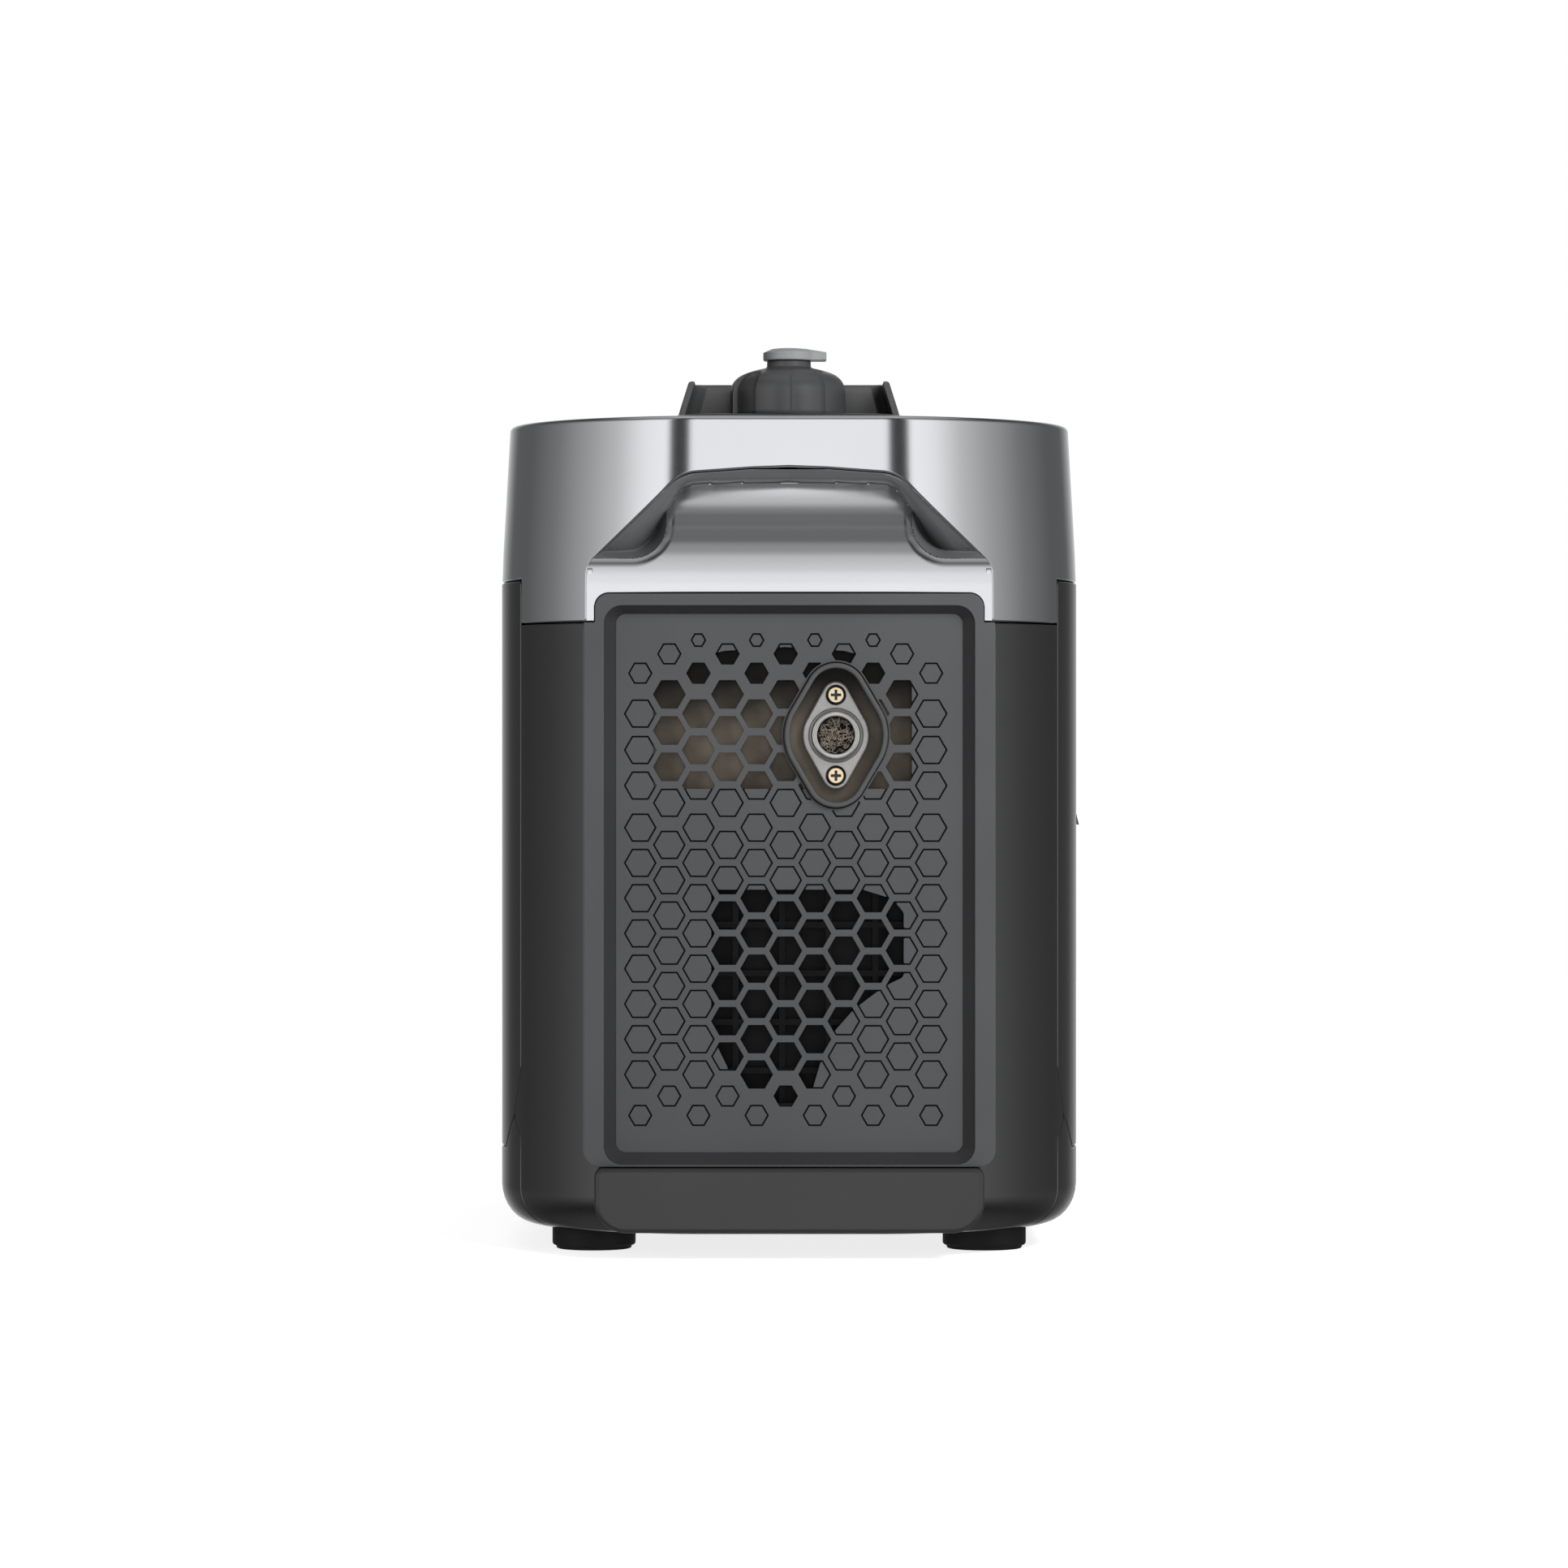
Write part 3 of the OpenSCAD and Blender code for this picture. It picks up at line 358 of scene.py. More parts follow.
def rounded_rect(x0, z0, x1, z1, r, step=6):
    """Rounded rectangle with the same count of points whatever its radius."""
    corners = ((x1 - r, z1 - r, 0), (x0 + r, z1 - r, 90), (x0 + r, z0 + r, 180), (x1 - r, z0 + r, 270))
    return [p for x, z, start in corners for p in arc(x, z, r, start, start + 91, step)]


def hull_loop(circles, count=144, grow=0.0):
    """Outline of the hull of circles (x, z, r), by the outermost circle in each direction."""
    out = []
    for k in range(count):
        t = 2 * math.pi * (k + 0.5) / count
        c = max(circles, key=lambda c: c[0] * math.cos(t) + c[1] * math.sin(t) + c[2])
        out.append((c[0] + (c[2] + grow) * math.cos(t), c[1] + (c[2] + grow) * math.sin(t)))
    return out


def lathe(name, profile, place, count=96, angle=32):
    """Closed profile of (radius, height) turned about an axis; place(x, y, height) gives the point."""
    loops = [[place(a, b, h) for a, b in circle(0, 0, r, count)] for r, h in profile]
    return stack(name, loops, closed_section=True, angle=angle)


def turned(place):
    """The same place at the intake end: half a turn about the upright axis."""
    def there(a, b, depth):
        x, y, z = place(a, b, depth)
        return (-x, -y, z)
    return there


ENDS = (("exhaust", 1, lambda place: place), ("intake", -1, turned))


def settle(obj, material, replaced=(), body=CASING):
    """Gives a piece its finish, its body and the CAD nodes that it stands for."""
    obj.data.materials.clear()
    obj.data.materials.append(material)
    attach(obj, body)
    if replaced:
        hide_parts(*replaced)
        REPLACED.update(replaced)
    return obj


# ---------- plan outline of the casing ----------

CREASE_X = CENTRE_X + math.sqrt((CORNER_R - CREASE_R) ** 2 - (HALF_LENGTH - CREASE_R - CENTRE_Y) ** 2)
CREASE_TURN = math.atan2(HALF_LENGTH - CREASE_R - CENTRE_Y, CREASE_X - CENTRE_X)


def plan_foot(x, y):
    """Signed inset of a plan point from the outline, and the outline's normal there."""
    sx, sy = (-1 if x < 0 else 1), (-1 if y < 0 else 1)
    ax, ay = abs(x), abs(y)
    if ay <= CENTRE_Y and HALF_WIDTH - ax < HALF_LENGTH - ay:
        return HALF_WIDTH - ax, (sx, 0.0)
    if ax <= CREASE_X and ay > CENTRE_Y:
        return HALF_LENGTH - ay, (0.0, sy)
    angle = math.atan2(ay - CENTRE_Y, ax - CENTRE_X)
    if angle <= CREASE_TURN:
        size = math.hypot(ax - CENTRE_X, ay - CENTRE_Y)
        return CORNER_R - size, (sx * (ax - CENTRE_X) / size, sy * (ay - CENTRE_Y) / size)
    cy = HALF_LENGTH - CREASE_R
    size = math.hypot(ax - CREASE_X, ay - cy)
    return CREASE_R - size, (sx * (ax - CREASE_X) / size, sy * (ay - cy) / size)


def pushed(x, y, v, edge):
    """Unrolled point that lies a distance v - edge outside the outline, next to a plan point."""
    s, (nx, ny) = plan_foot(x, y)
    return (x + nx * (v - edge + s), y + ny * (v - edge + s))


def bow_depth(x):
    """How far the outline lies behind the foremost line, at a distance x from the middle."""
    ax = abs(x)
    if ax <= CREASE_X:
        return 0.0
    edge = CREASE_X + CREASE_R * math.cos(CREASE_TURN)
    if ax < edge:
        return CREASE_R - math.sqrt(CREASE_R ** 2 - (ax - CREASE_X) ** 2)
    return HALF_LENGTH - CENTRE_Y - math.sqrt(max(CORNER_R ** 2 - (ax - CENTRE_X) ** 2, 0.0))


def arc_point(y):
    """X of the outline at a distance y from the middle, on the corner arc or the straight side."""
    ay = abs(y)
    return HALF_WIDTH if ay <= CENTRE_Y else CENTRE_X + math.sqrt(CORNER_R ** 2 - (ay - CENTRE_Y) ** 2)


# Top housing: the plan is unrolled, so that its walls lie outside the deck
TOP_R = 2.6
TOP_INSET, WALL_RISE = 4.2, 74.47               # the wall leans in by this much over this height
DECK_EDGE = TOP_INSET + TOP_R
DECK_MARGIN = 7.0
TAPER = math.atan2(TOP_INSET, WALL_RISE)
EASE_LOW, EASE_HIGH = 322.0, 350.0
SWEEP = math.pi / 2 - TAPER
WALL_START = TOP_R * SWEEP
WALL_Z = TOP - TOP_R * (1 - math.cos(SWEEP))
WALL_INSET = DECK_EDGE - TOP_R * math.sin(SWEEP)


def housing_inset(z):
    """Inset and tilt of the housing wall at a height."""
    slope = math.tan(TAPER)
    if z >= EASE_HIGH:
        return WALL_INSET - (WALL_Z - z) * slope, TAPER
    if z <= EASE_LOW:
        return 0.0, 0.0
    part = (z - EASE_LOW) / (EASE_HIGH - EASE_LOW)
    return max(0.0, slope * (z - EASE_LOW) * part / 2), math.atan(slope * part)


def housing_place(a, b, depth):
    """3-D point of the unrolled housing."""
    s, (nx, ny) = plan_foot(a, b)
    v = DECK_EDGE - s
    if v <= 0:
        return (a, b, TOP - depth)
    if v < WALL_START:
        t = v / TOP_R
        up, out = math.cos(t), math.sin(t)
        inset, z = DECK_EDGE - TOP_R * out, TOP - TOP_R * (1 - up)
    else:
        z = WALL_Z - (v - WALL_START)
        inset, tilt = housing_inset(z)
        up, out = math.sin(tilt), math.cos(tilt)
    fx, fy = a + nx * (s - inset - depth * out), b + ny * (s - inset - depth * out)
    return (fx, fy, z - depth * up)


def housing_flat(x, y, z):
    """Unrolled point of the housing for an outline point (x, y) and a height on the wall."""
    return pushed(x, y, WALL_START + (WALL_Z - z), DECK_EDGE)


# Lower shell: unrolled from the underside
BELLY_A, BELLY_B = 17.0, 20.0
BELLY_LENGTH = 29.1


def belly_place(a, b, depth):
    """3-D point of the unrolled lower shell."""
    s, (nx, ny) = plan_foot(a, b)
    v = BELLY_A - s
    if v <= 0:
        return (a, b, UNDERSIDE + depth)
    if v < BELLY_LENGTH:
        t = v / BELLY_LENGTH * math.pi / 2
        inset, z = BELLY_A * (1 - math.sin(t)), UNDERSIDE + BELLY_B * (1 - math.cos(t))
        size = math.hypot(BELLY_B * math.sin(t), BELLY_A * math.cos(t))
        out, up = BELLY_B * math.sin(t) / size, -BELLY_A * math.cos(t) / size
    else:
        inset, z, out, up = 0.0, UNDERSIDE + BELLY_B + v - BELLY_LENGTH, 1.0, 0.0
    return (a + nx * (s - inset - depth * out), b + ny * (s - inset - depth * out), z - depth * up)


def belly_v(z):
    """Distance along the lower shell's profile at a height."""
    if z >= UNDERSIDE + BELLY_B:
        return BELLY_LENGTH + z - UNDERSIDE - BELLY_B
    return BELLY_LENGTH * math.acos(max(-1, min(1, 1 - (z - UNDERSIDE) / BELLY_B))) * 2 / math.pi


def belly_inset(z):
    """Inset of the lower shell at a height."""
    if z >= UNDERSIDE + BELLY_B:
        return 0.0
    return BELLY_A * (1 - math.sqrt(max(0.0, 1 - (1 - (z - UNDERSIDE) / BELLY_B) ** 2)))


def belly_flat(x_sign, y, z):
    """Unrolled point of the lower shell where it crosses the plane Y = y at a height."""
    inset, v = belly_inset(z), belly_v(z)
    ay, sy = abs(y), (-1 if y < 0 else 1)
    if ay <= CENTRE_Y:
        nx, ny, px = 1.0, 0.0, HALF_WIDTH - inset
    else:
        r = CORNER_R - inset
        ny = (ay - CENTRE_Y) / r
        nx = math.sqrt(1 - ny * ny)
        px = CENTRE_X + r * nx
    push = inset - BELLY_A + v
    return (x_sign * (px + nx * push), sy * (ay + ny * push))


def wall_place(u, z, depth):
    """3-D point of a side wall; u runs along the outline from the middle of the +X side towards +Y."""
    au, sign = abs(u), (-1 if u < 0 else 1)
    if au <= CENTRE_Y:
        return (HALF_WIDTH - depth, u, z)
    t = (au - CENTRE_Y) / CORNER_R
    r = CORNER_R - depth
    return (CENTRE_X + r * math.cos(t), sign * (CENTRE_Y + r * math.sin(t)), z)


def wall_u(y):
    """Place along the side wall of a point at Y = y."""
    ay = abs(y)
    u = ay if ay <= CENTRE_Y else CENTRE_Y + CORNER_R * math.asin((ay - CENTRE_Y) / CORNER_R)
    return -u if y < 0 else u


# ---------- finishes ----------

SOOT_COLOUR = (0.012, 0.011, 0.010, 1)
GLOSSIEST, RELIEF_M = 0.02, 0.0005              # least roughness, and the depth of the grain in metres


def preset(node, values):
    """Sets a node's input sockets by name."""
    for socket, value in values.items():
        node.inputs[socket].default_value = value


def finish(name, colour, rough, metallic=0.0, grain=900.0, bump=0.02, spread=0.06, rough_spread=0.05,
           blotch=14.0, sheen=0.0, ior=1.5, soot=None):
    """Moulded, painted or cast finish: fine grain in the surface, soft variation in tone and gloss.

    soot holds two heights in millimetres: from the first to the second, the colour turns to soot.
    """
    material = bpy.data.materials.new(name)
    material.use_nodes = True
    tree = material.node_tree
    add, link = tree.nodes.new, tree.links.new
    shader = tree.nodes["Principled BSDF"]
    preset(shader, {"Metallic": metallic, "IOR": ior})
    if sheen:
        preset(shader, {"Sheen Weight": sheen})
    where = add("ShaderNodeTexCoord")
    fine, broad = add("ShaderNodeTexNoise"), add("ShaderNodeTexNoise")
    preset(fine, {"Scale": grain, "Detail": 3.0})
    preset(broad, {"Scale": blotch, "Detail": 4.0})
    tone = add("ShaderNodeValToRGB")
    for k, (place, gain) in enumerate(((0.3, 1 - spread), (0.7, 1 + spread))):
        tone.color_ramp.elements[k].position = place
        tone.color_ramp.elements[k].color = (*(min(1.0, c * gain) for c in colour), 1.0)
    gloss = add("ShaderNodeMapRange")
    preset(gloss, {"To Min": max(GLOSSIEST, rough - rough_spread), "To Max": rough + rough_spread})
    relief = add("ShaderNodeBump")
    preset(relief, {"Strength": bump, "Distance": RELIEF_M})
    for node in (fine, broad):
        link(where.outputs["Object"], node.inputs["Vector"])
    link(broad.outputs["Fac"], tone.inputs["Fac"])
    colour_out = tone.outputs["Color"]
    if soot:
        split, fade, stain = add("ShaderNodeSeparateXYZ"), add("ShaderNodeMapRange"), add("ShaderNodeMix")
        link(where.outputs["Object"], split.inputs["Vector"])
        link(split.outputs["Z"], fade.inputs["Value"])
        preset(fade, {"From Min": soot[0] / 1000, "From Max": soot[1] / 1000})
        stain.data_type, stain.blend_type = "RGBA", "MIX"
        stain.inputs["B"].default_value = SOOT_COLOUR
        link(fade.outputs["Result"], stain.inputs["Factor"])
        link(colour_out, stain.inputs["A"])
        colour_out = stain.outputs["Result"]
    link(colour_out, shader.inputs["Base Color"])
    link(fine.outputs["Fac"], gloss.inputs["Value"])
    link(gloss.outputs["Result"], shader.inputs["Roughness"])
    link(fine.outputs["Fac"], relief.inputs["Height"])
    link(relief.outputs["Normal"], shader.inputs["Normal"])
    return material


SILVER = finish("silver_housing", (0.645, 0.66, 0.675), 0.16, metallic=1.0, grain=2600, bump=0.008,
                spread=0.012, rough_spread=0.03)
SHELL = finish("black_shell", (0.0030, 0.0031, 0.0035), 0.19, grain=1500, bump=0.003, spread=0.10,
               rough_spread=0.02, ior=2.02)
CHIN = finish("chin_grey", (0.0155, 0.0153, 0.0158), 0.30, grain=1500, bump=0.01, spread=0.08)
# Darker grey for the slopes round the grille: painted shade, since these slopes belong to the same grey
# moulding as the grille.
BEVEL = finish("grille_bevel_painted_shade", (0.015, 0.015, 0.016), 0.42, grain=1500, bump=0.04, spread=0.08,
               ior=1.35)
CAP = finish("cap_grey", (0.040, 0.0405, 0.042), 0.34, grain=1500, bump=0.02, spread=0.08)
GUARD = finish("guard_grey", (0.046, 0.0465, 0.048), 0.26, grain=1500, bump=0.008, spread=0.08,
               ior=1.6)
# Near-black: the engine duct lattice's own colour, and painted shade on the grille's backing plate, which
# stands for the dark depth behind the hexagons.
LATTICE_AND_SHADE_BLACK = finish("lattice_and_shade_black", (0.0025, 0.0025, 0.0028), 0.45, grain=1200, bump=0.05, spread=0.10,
                 ior=1.3)
GRILLE = finish("grille_grey", (0.0425, 0.0434, 0.045), 0.44, grain=1500, bump=0.04, spread=0.05,
                ior=1.3)
PANEL = finish("panel_grey", (0.034, 0.035, 0.037), 0.42, grain=1500, bump=0.05, spread=0.08)
DARK = finish("dark_plastic", (0.016, 0.017, 0.018), 0.34, grain=1300, bump=0.05, spread=0.10)
# Darker, duller grey for the band and the pockets of the hand recess: painted shade on the silver piece where
# it lies deep in the recess.
RECESS_SHADE = finish("recess_painted_shade", (0.058, 0.059, 0.061), 0.42, grain=2600, bump=0.005, spread=0.02, ior=1.4)
LEVER = finish("lever_grey", (0.185, 0.19, 0.195), 0.36, grain=1500, bump=0.04)
RUBBER = finish("black_rubber", (0.006, 0.006, 0.006), 0.55, grain=700, bump=0.12, spread=0.15,
                ior=1.35)
SEAL = finish("grip_rubber", (0.014, 0.014, 0.014), 0.55, grain=700, bump=0.18, spread=0.15)
ALLOY = finish("cast_alloy", (0.46, 0.455, 0.44), 0.36, metallic=0.9, grain=600, bump=0.12, spread=0.06)
STEEL = finish("pressed_steel", (0.38, 0.37, 0.35), 0.30, metallic=0.9, grain=300, bump=0.06, spread=0.10)
SHIELD = finish("heat_shield", (0.105, 0.088, 0.070), 0.42, metallic=0.7, grain=220, bump=0.10,
                spread=0.30, blotch=30, soot=(262.0, 286.0))
PLATED = finish("plated_screw", (0.80, 0.66, 0.46), 0.30, metallic=0.85, grain=900, bump=0.05, spread=0.08)
PIPE = finish("outlet_ring", (0.58, 0.57, 0.55), 0.30, metallic=0.95, grain=900, bump=0.05, spread=0.05)
WOOL = finish("steel_wool", (0.62, 0.54, 0.44), 0.34, metallic=0.9, grain=500, bump=0.10, spread=0.30,
              blotch=300)
COPPER = finish("winding_copper", (0.55, 0.22, 0.09), 0.35, metallic=0.9, grain=400, bump=0.25, spread=0.15)
IRON = finish("rotor_iron", (0.16, 0.165, 0.17), 0.40, metallic=0.8, grain=500, bump=0.12, spread=0.12)
CERAMIC = finish("plug_ceramic", (0.78, 0.77, 0.73), 0.22, grain=300, bump=0.02, spread=0.03)
YELLOW = finish("dipstick_plastic", (0.70, 0.30, 0.015), 0.36, grain=900, bump=0.05, spread=0.06)
PALE = finish("pulley_plastic", (0.55, 0.56, 0.54), 0.42, grain=900, bump=0.05, spread=0.05)
ROPE = finish("rope_fabric", (0.62, 0.60, 0.52), 0.80, grain=1200, bump=0.60, spread=0.20, blotch=400,
              sheen=0.3)
GLASS = finish("display_glass", (0.006, 0.010, 0.016), 0.10, grain=200, bump=0.01, spread=0.20,
               rough_spread=0.02)
BUTTON = finish("button_plastic", (0.42, 0.43, 0.44), 0.32, grain=1200, bump=0.04, spread=0.04)
BATTERY = finish("battery_case", (0.03, 0.04, 0.06), 0.40, grain=900, bump=0.06, spread=0.10)


# ---------- top housing ----------

crease_turns = [math.radians(1.9 * k) for k in range(8)]
corner_turns = [CREASE_TURN * (1 - k / 30) for k in range(31)]
QUARTER = [(x, HALF_LENGTH) for x in (0, 9, 18, 27, 36, 44)]
QUARTER += [(CREASE_X + CREASE_R * math.sin(t), HALF_LENGTH - CREASE_R + CREASE_R * math.cos(t))
            for t in crease_turns if math.pi / 2 - t > CREASE_TURN]
QUARTER += [(CENTRE_X + CORNER_R * math.cos(t), CENTRE_Y + CORNER_R * math.sin(t)) for t in corner_turns]
QUARTER += [(HALF_WIDTH, y) for y in range(170, -1, -17)]
PERIMETER = sorted({(round(sx * x, 4), round(sy * y, 4)) for x, y in QUARTER
                    for sx in (-1, 1) for sy in (-1, 1)})

# Opening of the hand recess: upright sides, a slanting shoulder and a slightly arched top
OPENING_X, OPENING_LOW = 100.0, 342.2
OPENING_CORNER, OPENING_TOP, OPENING_PEAK = 53.2, 386.5, 390.3
right_side = [(OPENING_X, END_SEAM_Z), (OPENING_X, OPENING_LOW), (OPENING_CORNER, OPENING_TOP)]
OPENING = soften(right_side + [(0, OPENING_PEAK)] + [(-x, z) for x, z in right_side[::-1]],
                 [0, 11, 20, 260, 20, 11, 0], arc_step=5)


def end_wall(x):
    """Y of the casing's end wall, as a distance from the middle."""
    return HALF_LENGTH - bow_depth(x)


def housing_outline():
    """Lower edge of the housing as plan points with heights, once round the casing."""
    seam_x = arc_point(END_SPLIT)
    low, high = END_SEAM_Z + SEAM_GAP, SIDE_SEAM_Z + SEAM_GAP
    side = [(arc_point(y), y, high) for y in np.linspace(-END_SPLIT, END_SPLIT, 110)]
    corner = [(seam_x, END_SPLIT, z) for z in np.linspace(high, low, 8)[1:]]
    shelf = [(x, end_wall(x), low) for x in np.linspace(seam_x, OPENING_X, 14)[1:-1]]
    mouth = [(x, end_wall(x), max(z, low)) for x, z in trace(OPENING, 2.5, closed=False)]
    end = corner + shelf + mouth
    end += [(-x, y, z) for x, y, z in shelf[::-1]] + [(-x, y, z) for x, y, z in corner[::-1]]
    half = side + end[:-1]
    return half + [(-x, -y, z) for x, y, z in half]


SHORTEST_EDGE = 0.2
housing_loop = []
for point in housing_outline():
    flat = housing_flat(*point)
    if not housing_loop or math.dist(flat, housing_loop[-1]) > SHORTEST_EDGE:
        housing_loop.append(flat)
FILLER_Y = sum(c[1] for c in box_mm("cap_gasket")) / 2
FILLER_HOLE_R = 33.0
filler_hole = circle(0, FILLER_Y, FILLER_HOLE_R, 90)
housing_seeds = [housing_flat(x, y, z) for x, y in PERIMETER
                 for z in (320, 328, 336, 343, 350, 358, 366, 374, 382, 390, 398, 405)]
housing_seeds += [pushed(x, y, WALL_START * share, DECK_EDGE) for x, y in PERIMETER
                  for share in (1, 0.75, 0.5, 0.25, 0.0)]
housing_seeds += [(x, y) for x in range(-120, 121, 24) for y in range(-276, 277, 24)
                  if plan_foot(x, y)[0] > 2 * DECK_MARGIN]
housing = sheet("housing_cover", [housing_loop, filler_hole], housing_place, 1.3, SKIN, housing_seeds)
settle(housing, SILVER, ["top_housing"])


# ---------- hand recesses ----------

# All depths lie behind the foremost plane of the casing. The finger ramp, as height and depth:
RAMP = ((300, 5.0), (329, 5.0), (332, 5.0), (335, 5.3), (338, 5.75), (341, 6.4), (344, 7.15), (347, 8.0),
        (350, 9.05), (353, 10.2), (356, 11.55), (359, 12.95), (362, 14.4), (365, 15.75), (368, 17.05),
        (371, 18.2), (374, 19.1), (377, 19.85), (380, 20.4), (383, 20.8), (396, 21.8))
# Edge of the ramp: level at the sides, then an arc up to its upright part; beyond it lie the pockets
SHORE_Z, SHORE_X, SHORE_CZ, SHORE_R = 344.8, 77.4, 361.6, 16.8
SHORE_IN = SHORE_X - SHORE_R
LIP_R, LIP_RISE = 4.6, 0.22                     # rounding of that edge
POCKET_DEPTH, POCKET_OUT, POCKET_UP = 26.0, 0.5, 0.35
# Band that runs from the opening inwards: where it starts, and how it falls back
BAND_TOP, BAND_DROOP, BAND_CORNER = 389.8, 0.075, 8.0
BAND_STEP, BAND_SLOPE = 0.9, 0.95
SLANT = unit([OPENING_TOP - OPENING_LOW, OPENING_X - OPENING_CORNER])
# Inner edge of the band, and the wall behind it: a steep cliff under the bar, a soft flank lower down
INNER_X, INNER_Z, INNER_TOP, INNER_DROOP, INNER_CORNER = 76, 347, 383.6, 0.0004, 5.0
INNER = unit([31.0, 21.0])
FLANK, CLIFF = 2.6, 20.0
FLANK_TOP, FLANK_FADE = 384, 26
ROUND_HIGH, ROUND_MORE = 1.3, 5.4               # rounding under the bar, and what is added lower down
BAND_FOOT, BAND_FOOT_R = 347.4, 0.8
SILL_BLEND = 1.6
SCOOP_GAP = 0.45


def smooth_curve(points, x):
    """Smooth curve through points of rising x."""
    above = next((i for i, p in enumerate(points) if p[0] > x), len(points))
    k = max(1, min(len(points) - 2, above - 1))
    if x < points[1][0]:
        k = 0
    (x0, y0), (x1, y1) = points[k], points[k + 1]
    before, after = points[max(k - 1, 0)], points[min(k + 2, len(points) - 1)]
    m0 = (y1 - before[1]) / (x1 - before[0])
    m1 = (after[1] - y0) / (after[0] - x0)
    t, h = (x - x0) / (x1 - x0), x1 - x0
    t = max(0.0, min(1.0, t))
    return ((2 * t ** 3 - 3 * t ** 2 + 1) * y0 + (t ** 3 - 2 * t ** 2 + t) * h * m0
            + (3 * t ** 2 - 2 * t ** 3) * y1 + (t ** 3 - t ** 2) * h * m1)


def soft_min(a, b, k):
    """Smaller of two values, blended over a width k."""
    h = max(k - abs(a - b), 0.0) / k
    return min(a, b) - h * h * k / 4


def rolled_edge(d, r, flank):
    """Depth at a distance d inside a rounded edge, which falls away outside it at the flank's slope."""
    steepest = r * flank / math.hypot(1, flank)
    if d >= r:
        return 0.0
    if r - d >= steepest:
        return r - math.sqrt(r * r - steepest ** 2) + (r - d - steepest) * flank
    return r - math.sqrt(r * r - (r - d) ** 2)


def crowned_edge(d, r, rise):
    """Depth of a shallow parabolic edge, falling away as a steep flank outside it."""
    if d >= r:
        return 0.0
    crown = rise * r * (1 - max(d, 0.0) / r) ** 2
    return crown + max(0.0, -d) * FLANK


def scoop(x, z):
    """Depth of the hand recess, and whether the bright ramp is what shows there."""
    ax = abs(x)
    if ax >= SHORE_X:
        ashore = SHORE_Z - z
    elif z <= SHORE_CZ:
        ashore = math.hypot(ax - SHORE_X, z - SHORE_CZ) - SHORE_R
    else:
        ashore = SHORE_IN - ax
    sill = smooth_curve(RAMP, z) + crowned_edge(ashore, LIP_R, LIP_RISE)
    from_slant = (OPENING_X - ax) * SLANT[0] + (OPENING_LOW - z) * SLANT[1]
    from_top = BAND_TOP - BAND_DROOP * ax - z
    inward = max(0.0, soft_min(from_slant, from_top, BAND_CORNER))
    band = bow_depth(ax) + housing_inset(z)[0] + BAND_STEP + BAND_SLOPE * inward
    inner_slant = (INNER_X - ax) * INNER[0] + (INNER_Z - z) * INNER[1]
    to_inner = soft_min(inner_slant, INNER_TOP - INNER_DROOP * ax * ax - z, INNER_CORNER)
    low = max(0.0, min(1.0, (FLANK_TOP - z) / FLANK_FADE))
    wall = rolled_edge(-to_inner, ROUND_HIGH + ROUND_MORE * low, CLIFF + (FLANK - CLIFF) * low)
    reveal = band + wall + rolled_edge(z - BAND_FOOT, BAND_FOOT_R, CLIFF)
    pocket = (POCKET_DEPTH + POCKET_OUT * max(0.0, ax - SHORE_X + SHORE_R - 2)
              + POCKET_UP * (z - SHORE_Z))
    depth = min(soft_min(sill, reveal, SILL_BLEND), pocket)
    return depth, sill < reveal - 1.2 and ashore > -0.5


profile = sorted((abs(x), z) for x, z in OPENING if x >= 0)[:-1]
OPENING_PROFILE = ([x for x, _ in profile] + [OPENING_X + 0.01], [z for _, z in profile] + [profile[-1][1]])
RIM_TOP, RIM_TOP_X, RIM_TOP_R = 328.0, 88.6, 7.4     # top of the grille's rim, which the recess stands on
RIM_TOP_END = RIM_TOP_X + RIM_TOP_R


def scoop_span(x):
    """Lowest and highest Z of the hand recess at a distance x from the middle."""
    ax = abs(x)
    top = float(np.interp(ax, *OPENING_PROFILE)) - SCOOP_GAP * (1.4 if ax > 50 else 1)
    if ax < RIM_TOP_X:
        low = RIM_TOP
    elif ax < RIM_TOP_END:
        low = RIM_TOP - RIM_TOP_R + math.sqrt(max(0.0, RIM_TOP_R ** 2 - (ax - RIM_TOP_X) ** 2))
    else:
        low = END_SEAM_Z + SEAM_GAP
    return low, top


